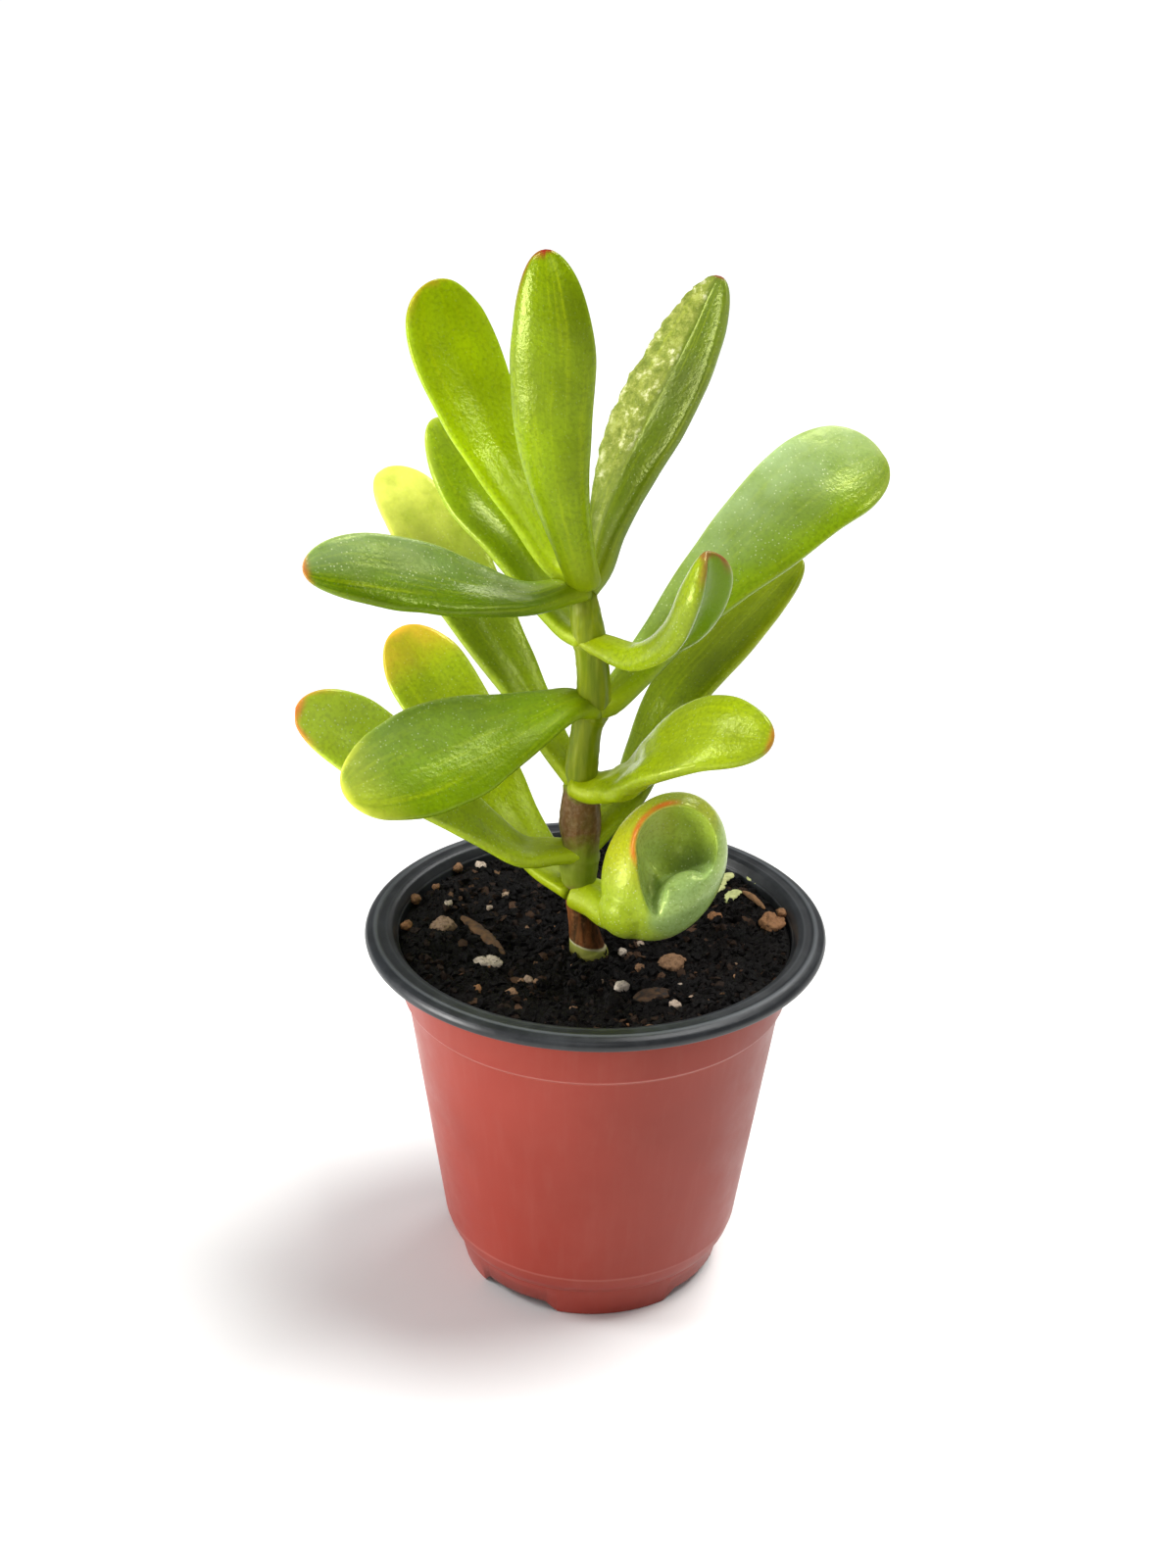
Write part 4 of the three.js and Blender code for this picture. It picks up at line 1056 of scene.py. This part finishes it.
flesh = {"Specular Tint": (0.9, 1, 0.3, 1), "Subsurface Weight": 0.14, "Subsurface Radius": (0.002, 0.0026, 0.0003)}
d = material("leaf skin", 0.5, {**flesh, "Subsurface Scale": 1})
along, side, upper, bloom = (d.stored(title) for title in ("along", "side", "upper", "bloom"))
silver, under, hollow, red = (d.stored(title) for title in ("silver", "under", "hollow", "red"))
green, blush = d.stored("green", "Color"), d.stored("blush", "Color")
soft, cloudy = d.cloud(70, 3), d.cloud(150, 4, 0.55)
fine, wrinkle = d.cloud(1300, 3), d.cloud(430, 6, 0.72)
lengthwise = d.out("ShaderNodeCombineXYZ", {0: d.times(side, 3), 1: upper, 2: along})
streak = d.cloud(3, 3, at=lengthwise)
deep = d.mix(1.0, green, "b0b060", "MULTIPLY")
pale_rim = d.times(d.ramp(d.calc("ABSOLUTE", side), 0.93, 1), d.ramp(bloom, 0, 1, 0.05, 0.5))
# Grey bloom, paler towards the tip; where a leaf's bloom is leaned to one side, it is a painted highlight.
bloom_and_highlight_share = d.times(d.ramp(cloudy, 0.3, 0.7, 0.18, 0.42), bloom, d.ramp(along, 0.15, 0.75, 0.15, 1))
cells = d.out("ShaderNodeTexVoronoi", {"Vector": d.place, "Scale": 1050}, "Distance")
dots = d.times(d.ramp(cells, 0.08, 0.22, 1, 0), d.ramp(cloudy, 0.35, 0.65, 0.2, 0.9), d.ramp(bloom, 0, 0.6, 0.1, 1))
tone = d.layered(
    green,
    (deep, soft, 0.35, 0.72, 0, 0.65),
    ("b4c400", streak, 0.5, 0.8, 0, 0.35),
    (deep, fine, 0.45, 0.7, 0, 0.5),
    ("c9d652", pale_rim),
    ("b2cc92", bloom_and_highlight_share),
    ("dfe9bb", dots),
    ("98a402", along, 0.02, 0.2, 0.5, 0),
    # Painted shade: the rolled-in side of a curled leaf, in darker green.
    ("5a8000", hollow),
    ("8fa884", under),
    ("ccd068", d.times(silver, d.ramp(wrinkle, 0.4, 0.58, 0.1, 0.5))),
    # Painted glints: near-white flecks on the silvery wrinkles, where light would catch them.
    ("fbf7d4", d.times(silver, d.ramp(wrinkle, 0.54, 0.66, 0, 0.85), d.ramp(cloudy, 0.4, 0.55, 0.1, 1))),
    (blush, d.times(red, d.ramp(cloudy, 0.3, 0.55, 0.5, 1))),
)
height = d.plus(cloudy, d.times(fine, 0.3), d.times(dots, 0.15), d.times(wrinkle, silver, 3))
gloss = d.plus(d.ramp(soft, 0.3, 0.7, 0.16, 0.27), d.times(bloom_and_highlight_share, 0.2), d.ramp(along, 0.15, 0.4, 0.22, 0))
leaf_skin = d.surfaced(tone, gloss, height, 0.55, 0.5)

for name, own in LEAVES.items():
    leaf = Sizes(node=NODES[name.split("_")[1]], **(PLAIN | own))
    made = cup_mesh if name == "leaf_a_front" else leaf_mesh
    kept(object_of("fine_" + name, made(leaf)), leaf_skin, name)


# ---- Table top, daylight and camera
# The plant stands on a plain white table top in soft daylight from high up at the right, which leaves a
# pale grey shadow to the left of the pot. The camera looks down on it from the front.
TABLE = Sizes(half=4000, white="f8fafa", cooler="f6f8f8", cloud=1.5)
corners = [(x * TABLE.half, y * TABLE.half, 0) for x, y in ((-1, -1), (1, -1), (1, 1), (-1, 1))]
table = object_of("table_top", mesh_of(corners, [(0, 1, 2, 3)]))
d = material("table white", 0.2, {"Roughness": 0.6})
fill(d.shader, {"Base Color": d.mix(d.cloud(TABLE.cloud), TABLE.white, TABLE.cooler)})
table.data.materials.append(d.skin)

# The daylight comes through a curtain, so that it makes no glint. Windows high at the left, at the back and
# overhead give the gloss, and a white wall and a window in front fill it in. The wall doesn't light the table,
# so that the pot's shadow stays grey. Each panel: its place, width, watts, tint and what it lights.
DAYLIGHT = Sizes(at=(320, 80, 960), strength=3.3, soft=32, tint="fffdfa")
PANELS = {
    "side window": ((-640, -60, 660), 260, 2.6, "ffffff", "all"),
    "white wall": ((-560, -210, 190), 240, 3.7, "fffefc", "off the table"),
    "front window": ((-60, -700, 620), 420, 1.0, "ffffff", "all"),
    "back window": ((310, 560, 740), 240, 1.5, "ffffff", "all"),
    "skylight": ((565, -45, 690), 110, 0.8, "ffffff", "gloss only"),
    "roof window": ((250, 160, 900), 200, 2.6, "ffffff", "gloss only"),
}
ROOM = Sizes(tint="fbfbfc", strength=0.24, seen=1.1)
AIM = Vector((0, 0, 110)) * MM


def aimed(name, lamp, at, tint):
    """Hangs a lamp at a place, turned to the plant."""
    lamp.color = colour(tint)[:3]
    stand = placed(name, lamp)
    stand.location = Vector(at) * MM
    stand.rotation_euler = (AIM - stand.location).to_track_quat("-Z", "Y").to_euler()
    return stand


daylight = bpy.data.lights.new("daylight", "SUN")
daylight.energy, daylight.angle = DAYLIGHT.strength, radians(DAYLIGHT.soft)
aimed("daylight", daylight, DAYLIGHT.at, DAYLIGHT.tint).visible_glossy = False
off_the_table = bpy.data.collections.new("off the table")
off_the_table.objects.link(table)
off_the_table.collection_objects[0].light_linking.link_state = "EXCLUDE"
for name, (at, wide, watts, tint, lights) in PANELS.items():
    panel = bpy.data.lights.new(name, "AREA")
    panel.size, panel.energy = wide * MM, watts
    stand = aimed(name, panel, at, tint)
    stand.visible_diffuse = lights != "gloss only"
    if lights == "off the table":
        stand.light_linking.receiver_collection = off_the_table
room = bpy.data.worlds.new("bright room")
room.use_nodes = True
air = Desk(room.node_tree)
seen = air.out("ShaderNodeLightPath", socket="Is Camera Ray")
strength = air.ramp(seen, 0, 1, ROOM.strength, ROOM.seen)
fill(room.node_tree.nodes["Background"], {"Color": colour(ROOM.tint), "Strength": strength})
bpy.context.scene.world = room
bpy.context.scene.view_settings.view_transform = "Standard"

# The camera's place and its own right and up, fitted to the ellipses of the pot in the photo.
CAMERA = Sizes(at=(0, -471.027, 345.88), right=(0.99976, 0.01316, 0.01732), up=(-0.02129, 0.42867, 0.90321))
LENS = Sizes(length=54, nearest=10)
lens = bpy.data.cameras.new("camera")
lens.lens, lens.clip_start = LENS.length, LENS.nearest * MM
camera = placed("camera", lens)
right = Vector(CAMERA.right).normalized()
back = right.cross(Vector(CAMERA.up)).normalized()
turn = Matrix((right, back.cross(right), back)).transposed()
camera.matrix_world = Matrix.Translation(Vector(CAMERA.at) * MM) @ turn.to_4x4()
bpy.context.scene.camera = camera
